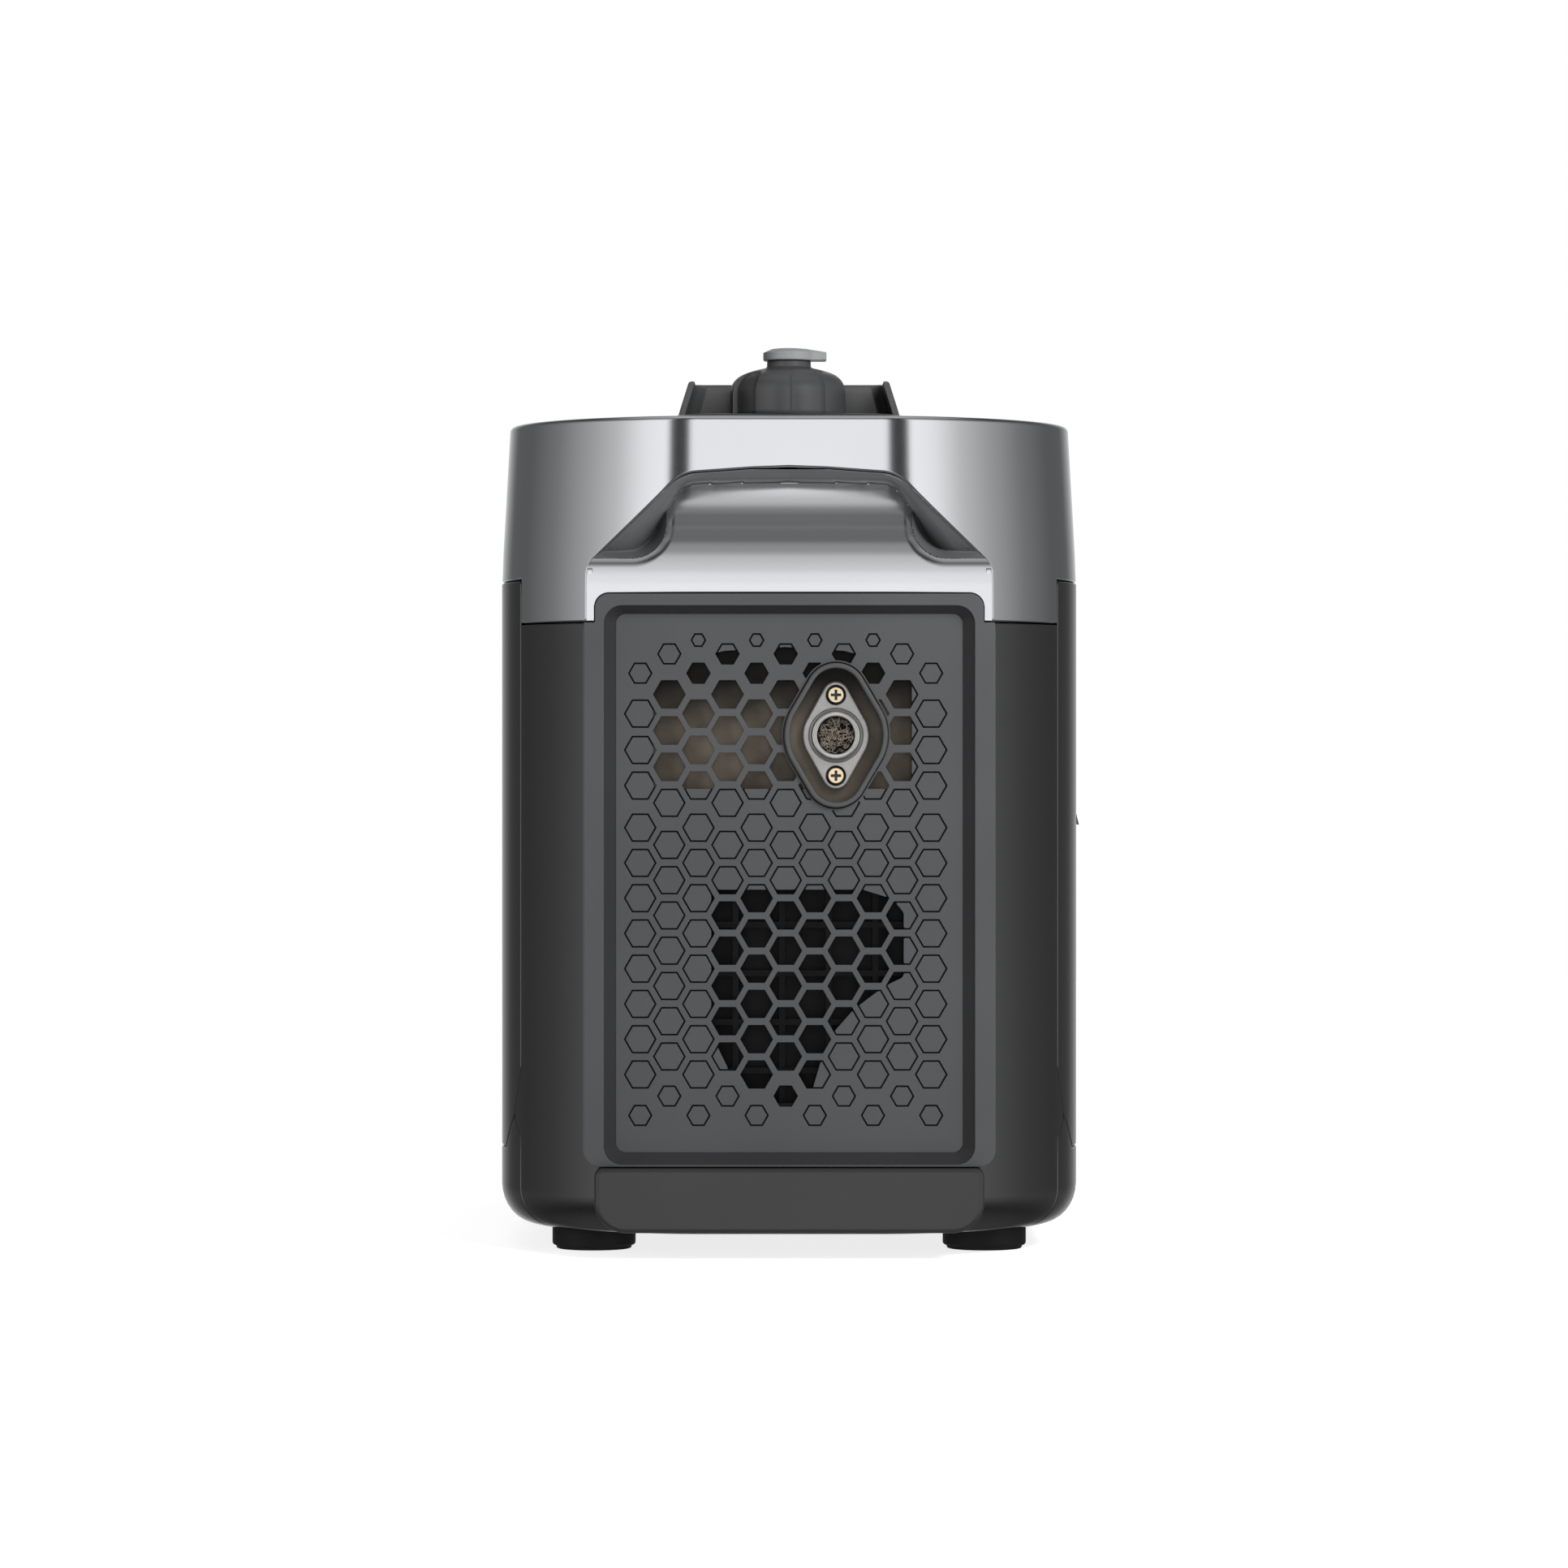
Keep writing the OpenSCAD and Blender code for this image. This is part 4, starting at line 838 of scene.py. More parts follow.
def hand_recess(name, end):
    """Fine grid over the recess, closed behind; returns the piece and which of its faces take the darker grey
    of painted shade.
    """
    half = [0.6 * k for k in range(160)] + [95.98, 96.0, 96.6, 97.2, 97.8, 98.4, 98.9, 99.3, 99.55]
    columns = [-x for x in half[:0:-1]] + half
    full_rise, lip_r, wall, e = 60.0, 0.5, 3.0, 0.04
    rises = [0.0, 0.15, 0.35, 0.6] + list(np.linspace(1.2, full_rise, 98))
    points, normals, bright = [], [], []
    for x in columns:
        low, high = scoop_span(x)
        for rise in rises:
            z = low + rise / full_rise * (high - low)
            lip = lip_r - math.sqrt(max(0.0, lip_r ** 2 - (lip_r - min(rise, lip_r)) ** 2))
            depth, on_ramp = scoop(x, z)
            points.append((end * x, end * (-HALF_LENGTH + depth + lip), z))
            bright.append(on_ramp)
            dx = (scoop(x + e, z)[0] - scoop(x - e, z)[0]) / (2 * e)
            dz = (scoop(x, z + e)[0] - scoop(x, z - e)[0]) / (2 * e)
            normals.append(unit((end * dx, -end, dz - (1.2 if rise < lip_r else 0.0))))
    rows, count = len(rises), len(points)
    points += [(x, y + end * wall, z) for x, y, z in points]
    faces, corner_normals = [], []
    for i in range(len(columns) - 1):
        for k in range(rows - 1):
            quad = [i * rows + k, (i + 1) * rows + k, (i + 1) * rows + k + 1, i * rows + k + 1]
            faces.append(quad)
            corner_normals += [normals[q] for q in quad]
            faces.append([q + count for q in quad[::-1]])
            corner_normals += [[-c for c in normals[q]] for q in quad[::-1]]
    border = ([k for k in range(rows)][::-1] + [i * rows for i in range(1, len(columns))]
              + [(len(columns) - 1) * rows + k for k in range(1, rows)]
              + [i * rows + rows - 1 for i in range(len(columns) - 2, 0, -1)])
    for a, b in zip(border, border[1:] + border[:1]):
        quad = [b, a, a + count, b + count]
        faces.append(quad)
        p, q, r = (Vector(points[i]) for i in quad[:3])
        corner_normals += [list((q - p).cross(r - p).normalized())] * 4
    shaded_faces = [int(not all(bright[v % count] for v in face)) for face in faces]
    return add_mesh(name, points, faces, corner_normals), shaded_faces


for end, sign, _ in ENDS:
    recess, shaded_faces = hand_recess(f"hand_recess_{end}", sign)
    settle(recess, SILVER, [f"{end}_handle_scoop"])
    # Faces of the band and the pockets take the darker grey: painted shade on the silver piece.
    recess.data.materials.append(RECESS_SHADE)
    recess.data.polygons.foreach_set("material_index", shaded_faces)


# ---------- end shells, tray and side panels ----------

CHIN_X, CHIN_TOP, CHIN_R, RIM_FOOT_R = 95.7, 45.4, 20.0, 8.0
CHEEK_X, CHEEK_T = 99.4, 3.0
TRAY_Z, SIDE_CUT_Y, SIDE_LOW = 50.6, 210.0, 51.4
TRAY_EDGE_Z = 56                                # the tray's upright edge ends below this height
ZIGZAG = ((58.0, END_SPLIT), (68.0, 226.0), (92.0, END_SPLIT))    # tab of the end shell, as Z and Y
ON_BELLY = UNDERSIDE + 0.0001


def shell_seeds(heights, keep):
    """Points on the unrolled lower shell where keep(x, y) holds: at these heights and underneath."""
    along = [belly_v(z) for z in heights] + [BELLY_LENGTH * k / 8 for k in range(9)]
    seeds = [pushed(x, y, v, BELLY_A) for x, y in PERIMETER if keep(x, y) for v in along]
    return seeds + [(x, y) for x in range(-126, 127, 18) for y in range(-288, 289, 18)
                    if keep(x, y) and plan_foot(x, y)[0] > BELLY_A + 4]


BELLY_HEIGHTS = [UNDERSIDE + BELLY_B * (1 - math.cos(math.radians(a))) for a in range(9, 91, 9)]


def end_shell_loop():
    """Outline of the exhaust end shell on the unrolled lower shell."""
    split = END_SPLIT + SEAM_GAP
    side = [belly_flat(1, -split, z) for z in [ON_BELLY] + BELLY_HEIGHTS if z < TRAY_EDGE_Z]
    side += [belly_flat(1, -(y + SEAM_GAP), z) for z, y in trace(list(ZIGZAG), 2.5, closed=False)]
    side += [belly_flat(1, -split, z) for z in np.linspace(96, END_SEAM_Z - SEAM_GAP, 60)]
    top_z, spine = END_SEAM_Z - SEAM_GAP, SPINE_X + 0.4

    def push(x, z):
        (nx, ny), far = plan_foot(x, -end_wall(x))[1], belly_v(z) - BELLY_A
        return (x + nx * far, -end_wall(x) + ny * far)

    side += [push(x, top_z) for x in np.linspace(arc_point(split), spine, 16)[1:]]
    foot, foot_z = spine - RIM_FOOT_R, CHIN_TOP + RIM_FOOT_R
    side += [push(spine, z) for z in np.linspace(top_z, foot_z, 66)[1:]]
    side += [push(foot + RIM_FOOT_R * math.cos(t), foot_z - RIM_FOOT_R * math.sin(t))
             for t in (math.radians(9 * k) for k in range(1, 11))]
    behind_chin = [(foot - 0.6, CHIN_TOP - 3), (foot - 2, 32), (82, 19), (0, 19)]
    side += [push(x, z) for x, z in trace(behind_chin, 3, closed=False)]
    return side + [(-x, y) for x, y in side[-2::-1]]


shell_loop = end_shell_loop()
end_seeds = shell_seeds((42, 56, *range(70, 291, 20), 305), lambda x, y: y < -190)
for end, _, turn in ENDS:
    end_shell = sheet(f"end_shell_{end}", [shell_loop], turn(belly_place), 0.6, SKIN, end_seeds)
    settle(end_shell, SHELL, [f"{end}_end_shell"])


def flat_place(front):
    """Place of a flat piece that faces the exhaust end, with its front at Y = -front."""
    return lambda a, b, depth: (a, depth - front, b)


CHIN_FOOT = UNDERSIDE + 1.6
chin_corners = [(-CHIN_X, CHIN_FOOT), (CHIN_X, CHIN_FOOT), (CHIN_X, CHIN_TOP), (-CHIN_X, CHIN_TOP)]
chin_loop = trace(soften(chin_corners, [CHIN_R, CHIN_R, 4, 4], arc_step=7), 6)
for end, _, turn in ENDS:
    chin = sheet(f"chin_{end}", [chin_loop], turn(flat_place(HALF_LENGTH)), 2.4, 24, steps=6)
    settle(chin, CHIN)


# cheeks that close the sides of the hand recess between its sill and the housing
cheek_front, cheek_back = 0.6 - RIM_Y, -262
cheek_low, cheek_top = END_SEAM_Z + 0.5, OPENING_LOW - 0.8
cheek_corners = [(cheek_front, cheek_low), (cheek_back, cheek_low), (cheek_back, cheek_top),
                 (cheek_front, cheek_top)]
cheek_loop = trace(soften(cheek_corners, [1.5, 1.5, 1.5, 3], arc_step=15), 4)
for end, _, turn in ENDS:
    for side, sx in (("left", -1), ("right", 1)):
        place = turn(lambda a, b, depth: (sx * (CHEEK_X - depth), a, b))
        cheek = sheet(f"recess_cheek_{end}_{side}", [cheek_loop], place, 0.5, CHEEK_T)
        settle(cheek, SILVER)


def tray_loop():
    """Outline of the base tray on the unrolled lower shell."""
    split = END_SPLIT - SEAM_GAP
    heights = [z for z in [ON_BELLY] + BELLY_HEIGHTS if z < TRAY_EDGE_Z]
    front = [belly_flat(1, -split, z) for z in heights]
    slopes = trace([(57.6, split), (67.6, 225.6), (TRAY_Z, SIDE_CUT_Y)], 2.5, closed=False)
    front += [belly_flat(1, -y, z) for z, y in slopes]
    front += [belly_flat(1, y, TRAY_Z) for y in np.linspace(-SIDE_CUT_Y, SIDE_CUT_Y, 80)[1:-1]]
    front += [belly_flat(1, y, z) for z, y in slopes[::-1]]
    front += [belly_flat(1, split, z) for z in heights[::-1]]
    return front + [(-x, -y) for x, y in front]


tray_seeds = shell_seeds((40, 46), lambda x, y: abs(y) < END_SPLIT - 2)
tray = sheet("base_tray_shell", [tray_loop()], belly_place, 0.9, SKIN, tray_seeds)
settle(tray, SHELL, ["base_tray"])


def side_loop():
    """Outline of a side panel as distances along the wall and heights."""
    split, top = END_SPLIT - SEAM_GAP, SIDE_SEAM_Z - SEAM_GAP
    corners = [(-split, top), (-split, 92.4), (-225.6, 68), (-SIDE_CUT_Y, SIDE_LOW)]
    corners += [(-y, z) for y, z in corners[::-1]]
    path = soften([(wall_u(y), z) for y, z in corners], [2.2, 3, 2, 2, 2, 2, 3, 2.2])
    return trace(path, 4)


def side_opening(node, r, gap_below=0.4, gap=0.4):
    """Rounded opening in a side panel for a CAD node."""
    low, high = box_mm(node)
    return trace(rounded_rect(low[1] - gap, low[2] - gap_below, high[1] + gap, high[2] + gap, r), 8)


def mirrored(u, z, depth):
    """Place on the service side: the control side's wall reflected."""
    x, y, z = wall_place(u, z, depth)
    return (-x, y, z)


SIDE_WALL = 2.8
side_ys = [-232, -229, *range(-226, -180, 4), *range(-176, 177, 16), *range(180, 230, 4), 229, 232]
side_seeds = [(wall_u(y), z) for y in side_ys for z in range(60, 336, 14)]
control_openings = [side_opening("control_panel", 10), side_opening("recoil_cup", 12)]
service_openings = [side_opening("service_cover", 12), side_opening("oil_hatch", 5, gap_below=1.2)]
for side, place, openings in (("control", wall_place, control_openings),
                              ("service", mirrored, service_openings)):
    panel = sheet(f"side_panel_{side}", [side_loop(), *openings], place, 0.6, SIDE_WALL, side_seeds)
    settle(panel, SHELL, [f"{side}_side_panel"])


# ---------- hexagon grilles ----------

COLUMN, ROW, HEX_SIZE, COLUMN_SHIFT = 14.32, 17.35, 13.93, -1.8
FACE_Y, POCKET, PLATE = RIM_Y - 6.0, 2.4, 2.2
WINDOW = (-85.4, 52.6, 85.4, 317.8)
RIM_INNER = (-91.1, 47.0, 91.1, 321.7)
# Rows of hexagons: height, size across flats, and the last column, counted in half steps
UPPER_ROWS = ((304.8, 6.7, 3), (298.0, 10.4, 4), (288.5, 10.4, 5), (278.1, HEX_SIZE, 4),
              (268.6, HEX_SIZE, 5), (260.3, HEX_SIZE, 4), (250.7, HEX_SIZE, 5), (242.4, HEX_SIZE, 4),
              (233.2, HEX_SIZE, 5), (224.7, HEX_SIZE, 4))
FOOT_ROWS = ((80.4, 10.4, 4), (70.9, 10.4, 5))
# Air windows in the backing plate
MUFFLER_WINDOW = [(-67, 231.6), (60.3, 231.6), (60.3, 288), (47, 294.5), (27, 299.5), (-2, 301.4),
                  (-32, 299.5), (-52, 294.5), (-67, 288)]
ENGINE_WINDOW = [(-22, 76.8), (9, 76.8), (11.5, 84), (15.7, 98.3), (22.1, 112.2), (31.6, 123),
                 (46.8, 134.5), (56.3, 139), (56.3, 170.7), (50.7, 177.5), (36, 182), (-38.4, 182),
                 (-38.4, 111), (-28.8, 91.2)]
BEZEL = ((0, 0, 25.5), (0, 20.4, 15.2), (0, -20.4, 15.2))
WINDOW_R, RIM_INNER_R = 5.0, 9.2
BLIND_GAP = 1.5                                 # a blind hexagon is smaller than its cell by this
SMALLEST_CELL, SMALLEST_BLIND = 8, 6            # least area that is kept of a cut hexagon, in mm2


def hexagons():
    """Centre and size across flats of every hexagon."""
    rows = list(UPPER_ROWS) + list(FOOT_ROWS)
    for i in range(8):
        rows.append((212.5 - i * ROW, HEX_SIZE, 5))
        if i < 7:
            rows.append((204.0 - i * ROW, HEX_SIZE, 4))
    return [(c * COLUMN + COLUMN_SHIFT, z, size) for z, size, last in rows for c in range(-last, last + 1, 2)]


def hexagon(x, z, size):
    """Hexagon with flats above and below, its corners a little rounded."""
    r = size / math.sqrt(3)
    return soften(arc(x, z, r, 0, 360, 60), 0.3, arc_step=30)


def bezel_loop(grow):
    """Outline of the tail pipe bezel, grown by a distance."""
    return [(x + TAIL_X, z + TAIL_Z) for x, z in hull_loop(BEZEL, 96, grow)]


def plate_loops(bezel):
    """Outline and hexagons of the plate, and the hole for the bezel, which cuts into those around it."""
    loops = [trace(rounded_rect(*WINDOW, WINDOW_R), 12)]
    for x, z, size in hexagons():
        ring = carve(hexagon(x, z, size), bezel_loop(1.3)) if bezel else hexagon(x, z, size)
        if len(ring) > 3 and abs(area(ring)) > SMALLEST_CELL:
            loops.append(ring)
    return loops + [bezel_loop(0.5)] if bezel else loops


def grille(end, bezel, turn):
    """Hexagon plate, backing plate with the air windows, blind hexagons and the raised rim."""
    seeds = [(x, z) for x in range(-80, 81, 8) for z in range(56, 316, 8)]
    front = turn(flat_place(FACE_Y))
    plate = sheet(f"grille_{end}_plate", plate_loops(bezel), front, 0.3, POCKET, seeds, steps=2)
    settle(plate, GRILLE, [f"{end}_grille"])
    windows = [MUFFLER_WINDOW, ENGINE_WINDOW] if bezel else [rounded_rect(-66, 96, 63, 290, 18)]
    windows = [trace(soften(w, 3), 4) for w in windows]
    blind = []
    for x, z, size in hexagons():
        ring = hexagon(x, z, size - BLIND_GAP)
        for w in windows + ([bezel_loop(0.9)] if bezel else []):
            ring = carve(ring, w) if len(ring) > 3 else []
        if len(ring) > 3 and abs(area(ring)) > SMALLEST_BLIND:
            blind.append(ring)
    sunk = turn(flat_place(FACE_Y - 0.3))
    for k, ring in enumerate(blind):
        obj = sheet(f"grille_{end}_blind_{k}", [ring], sunk, 0.15, POCKET - 0.2, steps=2)
        settle(obj, GRILLE)
    if bezel:
        windows[0] = merge()
    x0, z0, x1, z1 = WINDOW
    outline = trace(rounded_rect(x0 + 0.1, z0 + 0.1, x1 - 0.1, z1 - 0.1, WINDOW_R), 12)
    behind = turn(flat_place(FACE_Y - POCKET))
    back = sheet(f"grille_{end}_backing", [outline, *windows], behind, 0.2, PLATE, seeds, steps=2)
    # The backing plate is near-black: painted shade for the depth behind the open hexagons and the edges of
    # the windows.
    settle(back, LATTICE_AND_SHADE_BLACK)
    top, shoulder, foot, shoulder_x = grille_high[2], END_SEAM_Z - 0.4, 45.8, 95.6
    right = [(SPINE_X, foot), (SPINE_X, shoulder), (shoulder_x, shoulder), (shoulder_x, top)]
    outline = [(-SPINE_X, foot)] + right + [(-x, z) for x, z in right[:0:-1]]
    outline = soften(outline, [8, 8, 0.8, 0.4, 7.2, 7.2, 0.4, 0.8], arc_step=6)
    rim = [trace(outline, 6), trace(rounded_rect(*RIM_INNER, 9), 6)]
    settle(sheet(f"grille_{end}_rim", rim, turn(flat_place(RIM_Y)), 0.5, 18), GRILLE)
    slopes = [(RIM_INNER, RIM_INNER_R, RIM_Y - 0.5), (RIM_INNER, RIM_INNER_R, RIM_Y - 1.0),
              (WINDOW, WINDOW_R, FACE_Y - 0.05), (WINDOW, WINDOW_R, FACE_Y - 5),
              (RIM_INNER, RIM_INNER_R, FACE_Y - 5)]
    place = turn(lambda a, b, depth: (a, depth, b))
    loops = [[place(x, z, -y) for x, z in rounded_rect(*frame_box, r)] for frame_box, r, y in slopes]
    # The slopes take the darker grey: painted shade.
    settle(stack(f"grille_{end}_slope", loops, closed_section=True), BEVEL)


def merge():
    """Muffler window joined with the hole for the bezel, which crosses its lower edge and its top."""
    clear, gap = 0.8, 8
    hole = bezel_loop(0.6)
    low = sorted(p for p in hole if p[1] < MUFFLER_WINDOW[0][1] + 0.3)
    high = sorted(p for p in hole if p[1] > TAIL_Z and not inside(np.array([p]), [MUFFLER_WINDOW])[0])

    def near(p):
        part = low if p[1] < TAIL_Z else high
        return bool(part) and part[0][0] - clear < p[0] < part[-1][0] + clear

    ring = [p for p in trace(soften(MUFFLER_WINDOW, 3), 1.5) if not near(p)]
    out = []
    for here, after in zip(ring, ring[1:] + ring[:1]):
        out.append(here)
        if math.dist(here, after) > gap:
            part = low if here[1] < TAIL_Z else high
            out += part if math.dist(part[0], here) < math.dist(part[-1], here) else part[::-1]
    return out


for end, sign, turn in ENDS:
    grille(end, sign > 0, turn)


# ---------- tail pipe ----------

def tail_place(a, b, forward):
    """Point on the tail pipe's axis system: right, up, and forward towards the viewer."""
    return (TAIL_X + a, -forward, TAIL_Z + b)


def ring_of(name, profile, x=0.0, z=0.0, count=96, angle=30):
    """Turned piece about a line parallel to the tail pipe; profile is (radius, forward)."""
    return lathe(name, profile, lambda a, b, h: tail_place(x + a, z + b, h), count, angle)


lip, lip_back = -bezel_low[1], -bezel_high[1]
rounded_lip = [(0, 1.3), (-0.12, 0.6), (-0.45, 0.2), (-0.9, 0), (-1.6, 0), (-2.1, 0.2), (-2.4, 0.6),
               (-2.5, 1.3)]
bezel_profile = [(0, lip_back)] + [(grow, lip - back) for grow, back in rounded_lip] + [(-2.5, lip_back)]
bezel_rings = [[(x, -y, z) for x, z in bezel_loop(grow)] for grow, y in bezel_profile]
settle(stack("tail_bezel", bezel_rings, closed_section=True), GRILLE, ["tail_pipe_bezel"])

FLANGE_FRONT, FLANGE_T, SCREW_REACH = 280.0, 4.0, 19.9
PIPE_OUT, PIPE_IN, GROOVE_R = 11.7, 9.3, 13.5
pipe_front = -box_mm("tail_pipe_flange")[0][1]


flange_hull = ((0, 0, 16.6), (0, SCREW_REACH, 6.9), (0, -SCREW_REACH, 6.9))
flange_loops = [hull_loop(flange_hull, 160), circle(0, 0, GROOVE_R)]
flange_loops += [circle(0, s * SCREW_REACH, 4.9, 48) for s in (-1, 1)]
flange_place = lambda a, b, depth: tail_place(a, b, FLANGE_FRONT - depth)
flange = sheet("tail_flange", flange_loops, flange_place, [1.2, 0.3, 0.3, 0.3], FLANGE_T, steps=6)
settle(flange, ALLOY, ["tail_pipe_flange"])
OUTLET = [(PIPE_IN, 272.0), (PIPE_IN, pipe_front - 0.6), (PIPE_IN + 0.15, pipe_front - 0.15),
          (PIPE_IN + 0.45, pipe_front), (PIPE_OUT - 0.6, pipe_front), (PIPE_OUT - 0.15, pipe_front - 0.2),
          (PIPE_OUT, pipe_front - 0.7), (PIPE_OUT, 280.6), (PIPE_OUT + 0.5, 279.4), (PIPE_OUT + 1.2, 278.9),
          (GROOVE_R + 0.4, 278.8), (GROOVE_R + 0.4, 276.4), (PIPE_OUT, 276.2), (PIPE_OUT, 272.0)]
settle(ring_of("tail_outlet", OUTLET), PIPE)

HEAD_FRONT, HEAD_R, SLOT_HALF, SLOT_REACH = 282.6, 3.75, 0.62, 2.5
SHANK = [(0.05, 281.0), (3.6, 281.0), (3.7, 280.2), (3.0, 279.6), (3.0, 271.4), (0.05, 271.4)]
SEAT = [(3.95, 276.3), (3.95, 278.6), (4.95, 278.9), (4.95, 276.3)]
arm = [(SLOT_HALF, SLOT_HALF), (SLOT_HALF, SLOT_REACH), (-SLOT_HALF, SLOT_REACH)]
CROSS = []
for _ in range(4):
    CROSS += arm
    arm = [(-z, x) for x, z in arm]
for name, s in (("upper", 1), ("lower", -1)):
    z = s * SCREW_REACH
    head_loops = [circle(0, z, HEAD_R, 48), [(a, b + z) for a, b in soften(CROSS, 0.22, arc_step=45)]]
    head_place = lambda a, b, depth: tail_place(a, b, HEAD_FRONT - depth)
    head = sheet(f"screw_{name}_head", head_loops, head_place, 0.2, 1.7, steps=3)
    settle(head, PLATED, ["tail_pipe_screws"])
    settle(ring_of(f"screw_{name}_shank", SHANK, 0, z, 48), DARK)
    settle(ring_of(f"screw_{name}_seat", SEAT, 0, z, 48), DARK)


def wool_strands(count, reach, front, depth, seed):
    """Curled wires packed into the bore, as one curve object."""
    chance = random.Random(seed)
    curve = bpy.data.curves.new("outlet_wool", "CURVE")
    curve.dimensions, curve.use_fill_caps = "3D", True
    curve.bevel_depth, curve.bevel_resolution = 0.00012, 1
    step = 0.62
    for _ in range(count):
        r, turn = reach * math.sqrt(chance.random()), chance.uniform(0, 2 * math.pi)
        a, b, h = r * math.cos(turn), r * math.sin(turn), front - depth * chance.random()
        heading, bend = chance.uniform(0, 2 * math.pi), chance.uniform(-0.9, 0.9)
        path = []
        for _ in range(chance.randint(6, 12)):
            path.append((a, b, h))
            heading += bend + chance.uniform(-0.35, 0.35)
            a, b = a + step * math.cos(heading), b + step * math.sin(heading)
            h += chance.uniform(-0.4, 0.4)
            if math.hypot(a, b) > reach:
                break
            h = min(front, max(front - depth, h))
        if len(path) > 3:
            spline = curve.splines.new("POLY")
            spline.points.add(len(path) - 1)
            for point, p in zip(spline.points, path):
                point.co = (*(c / 1000 for c in tail_place(*p)), 1)
    obj = bpy.data.objects.new("outlet_wool", curve)
    bpy.context.scene.collection.objects.link(obj)
    return obj


settle(wool_strands(170, PIPE_IN - 0.35, 283.0, 5.5, 11), WOOL, ["spark_arrester_wool"])
core = [(0.05, 276.6), (5.0, 276.9), (PIPE_IN - 0.1, 276.4), (PIPE_IN - 0.1, 273.0), (0.05, 273.0)]
settle(ring_of("outlet_wool_core", core), LATTICE_AND_SHADE_BLACK)


# ---------- filler: surround, cap and vent lever ----------

boss_low, boss_high = box_mm("filler_surround")
CAP_X, CAP_Y = 0.0, (boss_low[1] + 58.0)
BOSS_TOP, GUARD_TOP, NECK_R = 427.0, boss_high[2], 30.2


def at_cap(points, z):
    """Plan points about the cap's axis, lifted to a height."""
    return [(CAP_X + x, CAP_Y + y, z) for x, y in points]


def near_circle(r):
    """Circle with the same count of points as a rounded rectangle."""
    return rounded_rect(-r, -r, r, r, r - 0.01)


BOSS_FOOT, BOSS_HOLE_R = 408.0, 37.2
# Outside of the boss as half width, front, back, corner radius and height; its neck as radius and height
BOSS_OUTSIDE = ((66, 58, 56, 26, TOP + 0.05), (65.2, 56.9, 55.2, 25.6, 416.8),
                (61.2, 51.6, 51.2, 23.2, 424.6), (60.3, 50.4, 50.3, 22.3, 426.1),
                (59.2, 49.2, 49.2, 21.6, 426.8), (57.5, 47.5, 47.5, 20.6, BOSS_TOP))
BOSS_NECK = ((34.0, BOSS_TOP), (32.6, BOSS_TOP - 0.1), (31.2, BOSS_TOP - 0.5), (NECK_R, BOSS_TOP - 1.6),
             (NECK_R, BOSS_FOOT))
boss = [(near_circle(BOSS_HOLE_R), BOSS_FOOT), (near_circle(BOSS_HOLE_R), TOP)]
boss += [(rounded_rect(-w, -front, w, back, r), z) for w, front, back, r, z in BOSS_OUTSIDE]
boss += [(near_circle(r), z) for r, z in BOSS_NECK]
boss_obj = stack("filler_boss", [at_cap(points, z) for points, z in boss], closed_section=True, angle=28)
settle(boss_obj, DARK, ["filler_surround"])


def guard_loop(t, shrink):
    """Plan of the guard wall: t runs from its foot (0) to its top (1), shrink narrows the wall."""
    out_x, out_y = 58.3 - 5.6 * t - shrink, 46.0 - 5.0 * t - shrink
    in_x, in_y = 54.8 - 5.6 * t + shrink, 38.9 - 1.2 * t + shrink
    front, r_out, r_in = -25.5 + 12.5 * t + shrink, 9.5, 6.5
    outer = [(out_x - 0.6, front), (out_x - 0.15, front + 0.5), (out_x, front + 2), (out_x, front + 12)]
    outer += arc(out_x - r_out, out_y - r_out, r_out, 0, 91, 6)
    inner = [(in_x + 0.2, front), (in_x, front + 0.8), (in_x, front + 4), (in_x, front + 12)]
    inner += arc(in_x - r_in, in_y - r_in, r_in, 0, 91, 6)
    outside = outer + [(0.0, out_y)] + [(-x, y) for x, y in outer[::-1]]
    within = [(-x, y) for x, y in inner] + [(0.0, in_y)] + inner[::-1]
    return outside + within


# Rings of the guard: share of its height, narrowing and Z; its top leans up towards the back
GUARD_LEAN, LEAN_START = 1.6 / 60, -14
guard = [(0.0, 0.0, BOSS_TOP - 0.6)]
guard += [(t, 0.0, BOSS_TOP + (GUARD_TOP - BOSS_TOP) * t) for t in (0.25, 0.5, 0.75, 0.93)]
guard += [(0.965, 0.2, GUARD_TOP - 0.55), (0.985, 0.5, GUARD_TOP - 0.2), (1.0, 1.0, GUARD_TOP)]
guard_rings = [[(x, y, z + (y - CAP_Y - LEAN_START) * GUARD_LEAN * t)
                for x, y, z in at_cap(guard_loop(t, shrink), z)] for t, shrink, z in guard]
settle(stack("filler_guard", guard_rings, angle=35), GUARD)

# Section of the cap as radius and height: the plug's hollow, the outside, the skirt, then the plug
CAP_R, CAP_FOOT = 31.2, 428.0
CAP_SECTION = ((17.5, 424), (17.5, 433), (0.3, 433.2), (0.3, 457.4), (10.9, 457.4), (11.5, 457.1),
               (11.6, 456.5), (11.6, 454.9), (11.9, 454.1), (13.2, 453.5), (16, 452.9), (19, 452.1),
               (21.5, 451.3), (23.8, 450.4), (25.8, 449.4), (27.5, 448.2), (29.0, 446.6), (30.1, 444.8),
               (30.8, 442.8), (31.1, 440.6), (CAP_R, 438), (CAP_R, 435.5), (CAP_R, 433), (CAP_R, 430.5),
               (CAP_R, 428.6), (30.8, 428.1), (30.2, CAP_FOOT), (27, CAP_FOOT), (27, 434.2),
               (19.8, 434.2), (19.8, 424))
FLUTES, FLUTE_TURN, FLUTE_HALF = 5, 19.5, 18.6  # how many, and one's middle and half width in degrees
FLUTE_DEPTH, FLUTE_TOP, FLUTE_CORNER = 2.3, 450.9, 5.5
FLUTED_FROM_R = 22.0


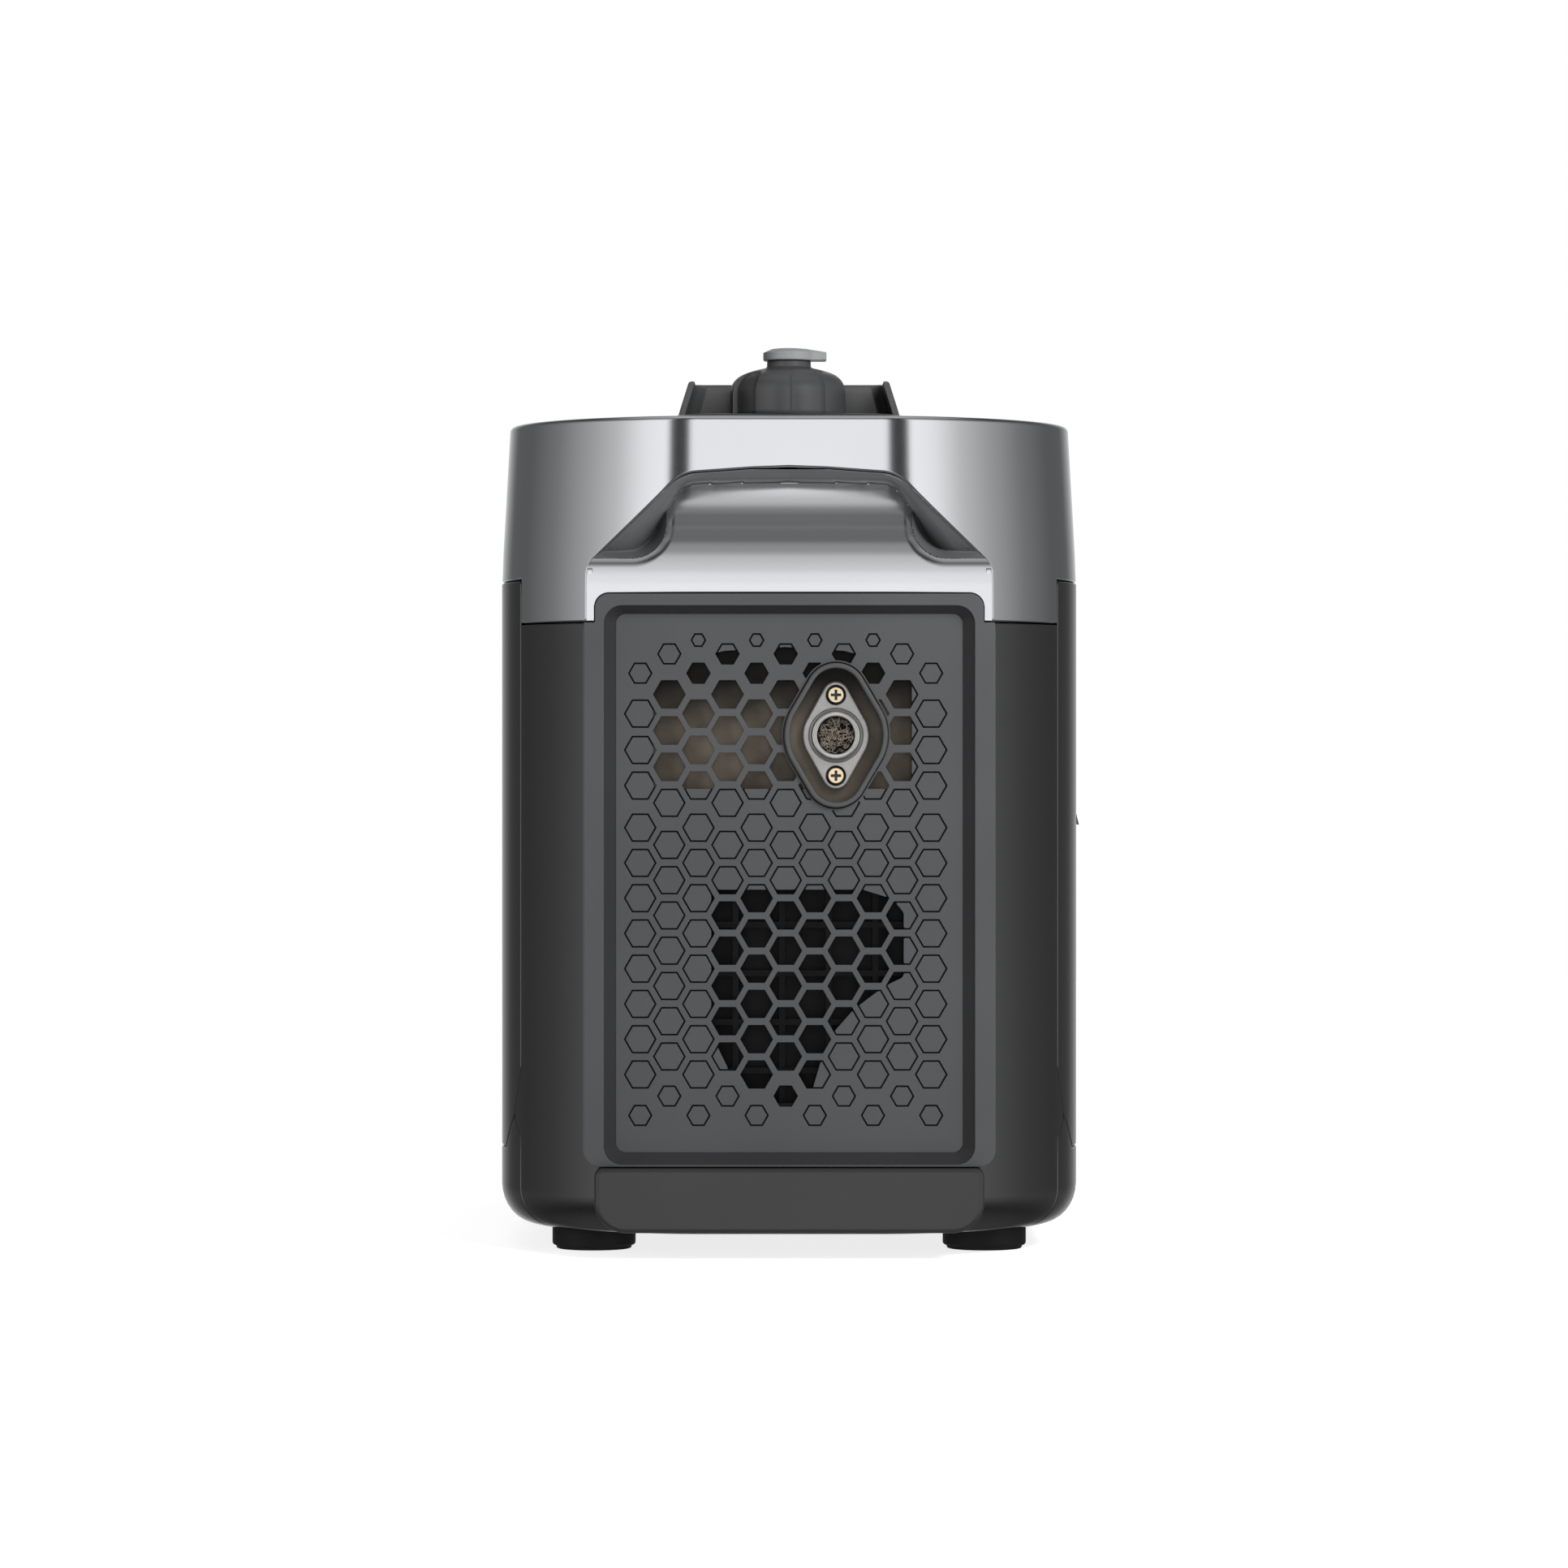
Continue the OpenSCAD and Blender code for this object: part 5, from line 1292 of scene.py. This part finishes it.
def flute_depth(degrees, r, z):
    """How far the cap's finger flutes go in at an angle from the front, a radius and a height."""
    if r <= FLUTED_FROM_R or z <= CAP_FOOT + 0.05:
        return 0.0
    off = (degrees - FLUTE_TURN + 180 / FLUTES) % (360 / FLUTES) - 180 / FLUTES
    across = math.radians(FLUTE_HALF - abs(off)) * CAP_R
    below = (FLUTE_TOP - z) * 1.25
    if across < FLUTE_CORNER and below < FLUTE_CORNER:
        reach = FLUTE_CORNER - math.hypot(FLUTE_CORNER - across, FLUTE_CORNER - below)
    else:
        reach = min(across, below)
    step = max(0.0, min(1.0, reach))
    return FLUTE_DEPTH * step * step * (3 - 2 * step)


def cap_ring(r, z, count=360):
    """Ring of the cap at a radius and a height, with the flutes cut into it."""
    ring = []
    for degrees in (360 * k / count for k in range(count)):
        t, reach = math.radians(degrees - 90), r - flute_depth(degrees, r, z)
        ring.append((CAP_X + reach * math.cos(t), CAP_Y + reach * math.sin(t), z))
    return ring


cap_body = stack("cap_body", [cap_ring(r, z) for r, z in CAP_SECTION], closed_section=True, angle=40)
settle(cap_body, CAP, ["fuel_cap"], body="cap")

LEVER_TIP, _, LEVER_TOP = box_mm("vent_lever")[1]
LEVER_LOW, LEVER_R, LEVER_T, TIP_HALF = 457.5, 13.6, 4.5, 5.9
tip = [(LEVER_TIP, -TIP_HALF), (LEVER_TIP, TIP_HALF), (0, TIP_HALF), (0, -TIP_HALF)]
lever_loop = arc(0, 0, LEVER_R, 26, 335, 4) + soften(tip, [1.6, 1.6, 0, 0], 30)[:8]
lever_rim = LEVER_LOW + LEVER_T
crown = [(0.05, lever_rim - 0.5), (13.0, lever_rim - 0.5), (12.9, lever_rim + 0.1),
         (10.4, LEVER_TOP - 0.75), (9.2, LEVER_TOP - 0.25), (7.5, LEVER_TOP - 0.05), (0.05, LEVER_TOP)]
# Arrow on the lever: one end face near the middle and one at the tip, as distance, half widths and heights
arrow = ((8.2, 4.4, LEVER_TOP - 0.15, 8.2, 4.6), (19.0, 4.9, lever_rim + 0.05, 19.1, 5.0))
arrow_loops = [at_cap([(x, -w), (x, w)], z) + at_cap([(x_low, w_low), (x_low, -w_low)], lever_rim - 0.5)
               for x, w, z, x_low, w_low in arrow]
disc_place = lambda a, b, depth: (CAP_X + a, CAP_Y + b, lever_rim - depth)
disc = sheet("vent_lever_disc", [lever_loop], disc_place, 0.5, LEVER_T)
settle(disc, LEVER, ["vent_lever"], body="vent")
crown_obj = lathe("vent_lever_crown", crown, lambda a, b, h: (CAP_X + a, CAP_Y + b, h))
settle(crown_obj, LEVER, body="vent")
settle(stack("vent_lever_arrow", arrow_loops), LEVER, body="vent")


# ---------- feet ----------

FOOT_X, FOOT_Y, FOOT_R = 98.4, 211.0, 21.0
FOOT_PROFILE = [(9.0, 0.6), (15.5, 0.3), (17.8, 0.0), (18.6, 0.25), (19.0, 0.9), (19.0, 1.5), (20.3, 2.0),
                (20.9, 2.7), (FOOT_R, 3.6), (FOOT_R, 10.4), (20.6, 11.6), (20.0, 11.95), (6.4, 12.0),
                (6.4, 5.0), (6.9, 4.4), (6.9, 1.2)]
for k, (sx, sy) in enumerate(((-1, -1), (1, -1), (-1, 1), (1, 1))):
    foot = lathe(f"foot_{k}", FOOT_PROFILE, lambda a, b, h: (sx * FOOT_X + a, sy * FOOT_Y + b, h), 96, 30)
    settle(foot, RUBBER, ["rubber_feet"])


# ---------- starter rope ----------

rope_low, rope_high = box_mm("starter_rope")
ROPE_Y, ROPE_Z = ((rope_low[k] + rope_high[k]) / 2 for k in (1, 2))
ROPE_R, STRANDS, LAY, GROOVE = (rope_high[1] - rope_low[1]) / 2 - 0.15, 3, 9.0, 0.28
rope_turns = [2 * math.pi * k / 36 for k in range(36)]
rope_loops = []
for x in np.linspace(rope_low[0], rope_high[0], 220):
    twist = 2 * math.pi * x / LAY / STRANDS
    radii = [ROPE_R - GROOVE + GROOVE * abs(math.cos(STRANDS / 2 * (t + twist))) for t in rope_turns]
    rope_loops.append([(x, ROPE_Y + r * math.cos(t), ROPE_Z + r * math.sin(t))
                       for t, r in zip(rope_turns, radii)])
rope = stack("pull_rope", rope_loops, angle=60)
rope.data.materials.append(ROPE)
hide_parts("starter_rope")
REPLACED.add("starter_rope")
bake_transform(rope)


# ---------- finishes and edges of the CAD nodes that stay ----------

FINISHES = {"housing_plastic": SILVER, "shell_plastic": SHELL, "grille_plastic": GRILLE,
            "panel_plastic": PANEL,
            "lever_plastic": LEVER, "foot_rubber": RUBBER, "seal_rubber": SEAL, "engine_alloy": ALLOY,
            "sheet_steel": STEEL, "heat_steel": SHIELD, "plated_screw": PLATED, "steel_wool": WOOL,
            "winding_copper": COPPER, "rotor_iron": IRON, "plug_ceramic": CERAMIC, "dipstick_plastic": YELLOW,
            "pulley_plastic": PALE, "rope_fabric": ROPE, "display_glass": GLASS, "button_plastic": BUTTON,
            "battery_plastic": BATTERY}
OWN_FINISH = {"engine_duct_lattice": LATTICE_AND_SHADE_BLACK, "outlet_block": DARK, "dc_port": DARK, "recoil_cup": DARK}
EDGE_WIDTH, SHARP_ANGLE = 0.5, math.radians(38)
EDGE_WIDTHS = {"muffler_heat_shield": 0.25, "display_window": 0.3, "cap_gasket": 0.2, "spark_plug": 0.3,
               "start_button": 0.6, "outlet_cover": 0.7, "recoil_grip": 1.4}
slot_of = {part["node"]: part["material_slot"] for part in frame["record"]["subparts"]}
for node in sorted(NODES):
    if node in REPLACED:
        continue
    obj = bpy.data.objects[node]
    obj.data.materials.clear()
    obj.data.materials.append(OWN_FINISH.get(node, FINISHES[slot_of[node]]))
    bevel = obj.modifiers.new("soft_edges", "BEVEL")
    bevel.width, bevel.segments = EDGE_WIDTHS.get(node, EDGE_WIDTH) / 1000, 2
    bevel.limit_method, bevel.angle_limit = "ANGLE", SHARP_ANGLE
    bevel.use_clamp_overlap = True
    obj.data.shade_smooth()
    obj.data.set_sharp_from_angle(angle=SHARP_ANGLE)


# ---------- floor, light, camera ----------

# Brightness of the panels by angle from the front, then by elevation, and the even fill light
PANEL_LIGHT = ((0, 1.25), (7.6, 1.25), (10.2, 0.0), (25.0, 0.0), (29.0, 1.34), (46, 1.14), (60, 0.70),
               (76, 0.46), (100, 0.21), (124, 0.10), (146, 0.10), (162, 0.45), (180, 1.0))
PANEL_HEIGHT = ((-30, 0.0), (-10, 1.0), (6, 1.0), (20, 0.88), (32, 0.60), (42, 0.30), (52, 0.08), (64, 0.0))
FILL_LIGHT = ((-90, 0.17), (-50, 0.17), (-34, 0.08), (-12, 0.08), (-4, 0.03), (52, 0.04), (64, 0.45),
              (90, 0.55))
PANEL_GAIN = 1.5                                # the ramps hold at most one, so their light is scaled
FLOOR_HALF = 4000
WHITE, FLOOR_WHITE = (1, 1, 1, 1), (0.85, 0.85, 0.85, 1)


def studio_floor():
    """Pale floor that glows a little, so that it runs into the white surroundings."""
    corners = [(sx * FLOOR_HALF, sy * FLOOR_HALF, 0) for sx, sy in ((-1, -1), (1, -1), (1, 1), (-1, 1))]
    floor = add_mesh("studio_floor", corners, [[0, 1, 2, 3]])
    paint = bpy.data.materials.new("studio_white")
    paint.use_nodes = True
    preset(paint.node_tree.nodes["Principled BSDF"],
           {"Base Color": FLOOR_WHITE, "Roughness": 0.9, "Emission Color": WHITE, "Emission Strength": 0.8})
    floor.data.materials.append(paint)
    floor.visible_glossy = False


def studio_light():
    """White surroundings for the camera, and soft light from tall panels around the object."""
    world = bpy.data.worlds.new("studio_light")
    bpy.context.scene.world = world
    world.use_nodes = True
    tree = world.node_tree
    tree.nodes.clear()
    add, link = tree.nodes.new, tree.links.new

    def math_node(kind, first, second=None):
        node = add("ShaderNodeMath")
        node.operation = kind
        for socket, value in zip(node.inputs, (first, second)):
            if isinstance(value, (int, float)):
                socket.default_value = value
            elif value is not None:
                link(value, socket)
        return node.outputs[0]

    def ramp(value, stops):
        node = add("ShaderNodeValToRGB")
        elements = node.color_ramp.elements
        while len(elements) < len(stops):
            elements.new(0.5)
        for element, (place, level) in zip(elements, stops):
            element.position = place
            element.color = (level, level, level, 1)
        link(value, node.inputs["Fac"])
        return node.outputs["Color"]

    def by_elevation(stops):
        return [(0.5 + 0.5 * math.sin(math.radians(e)), level) for e, level in stops]

    where, split = add("ShaderNodeTexCoord"), add("ShaderNodeSeparateXYZ")
    link(where.outputs["Generated"], split.inputs["Vector"])
    x, y, z = split.outputs
    round_angle = math_node("ARCTAN2", math_node("ABSOLUTE", x), math_node("MULTIPLY", y, -1.0))
    around = math_node("DIVIDE", round_angle, math.pi)
    height = math_node("MULTIPLY_ADD", z, 0.5)
    height.node.inputs[2].default_value = 0.5
    by_angle = [(a / 180, level / PANEL_GAIN) for a, level in PANEL_LIGHT]
    panels = math_node("MULTIPLY", ramp(around, by_angle), ramp(height, by_elevation(PANEL_HEIGHT)))
    panels = math_node("MULTIPLY", panels, PANEL_GAIN)
    level = math_node("ADD", panels, ramp(height, by_elevation(FILL_LIGHT)))
    kinds = ("Background", "Background", "MixShader", "LightPath", "OutputWorld")
    lit, white, mix, path, out = (add("ShaderNode" + kind) for kind in kinds)
    link(level, lit.inputs["Color"])
    white.inputs["Color"].default_value = WHITE
    link(path.outputs["Is Camera Ray"], mix.inputs["Fac"])
    link(lit.outputs[0], mix.inputs[1])
    link(white.outputs[0], mix.inputs[2])
    link(mix.outputs[0], out.inputs["Surface"])


studio_floor()
studio_light()

KEY_PLACE, KEY_TARGET = Vector((0.50, -0.95, 0.80)), Vector((0.0, -0.29, 0.25))
key_data = bpy.data.lights.new("soft_key", "AREA")
key_data.shape, key_data.size, key_data.energy = "DISK", 0.6, 19.0
key = bpy.data.objects.new("soft_key", key_data)
key.location = KEY_PLACE
key.rotation_euler = (KEY_TARGET - KEY_PLACE).to_track_quat("-Z", "Y").to_euler()
key.visible_glossy = False
bpy.context.scene.collection.objects.link(key)

VIEW_DISTANCE, VIEW_X, VIEW_Z = 3000, -2.6, 234  # from the foremost plane, in millimetres
camera_data = bpy.data.cameras.new("photo_camera")
camera_data.lens, camera_data.sensor_width = 140.5, 36.0
camera_data.clip_end = 50.0
camera = bpy.data.objects.new("photo_camera", camera_data)
camera.location = (VIEW_X / 1000, -(HALF_LENGTH + VIEW_DISTANCE) / 1000, VIEW_Z / 1000)
camera.rotation_euler = (math.radians(90), 0, 0)
bpy.context.scene.collection.objects.link(camera)
bpy.context.scene.camera = camera
bpy.context.scene.view_settings.view_transform = "Standard"
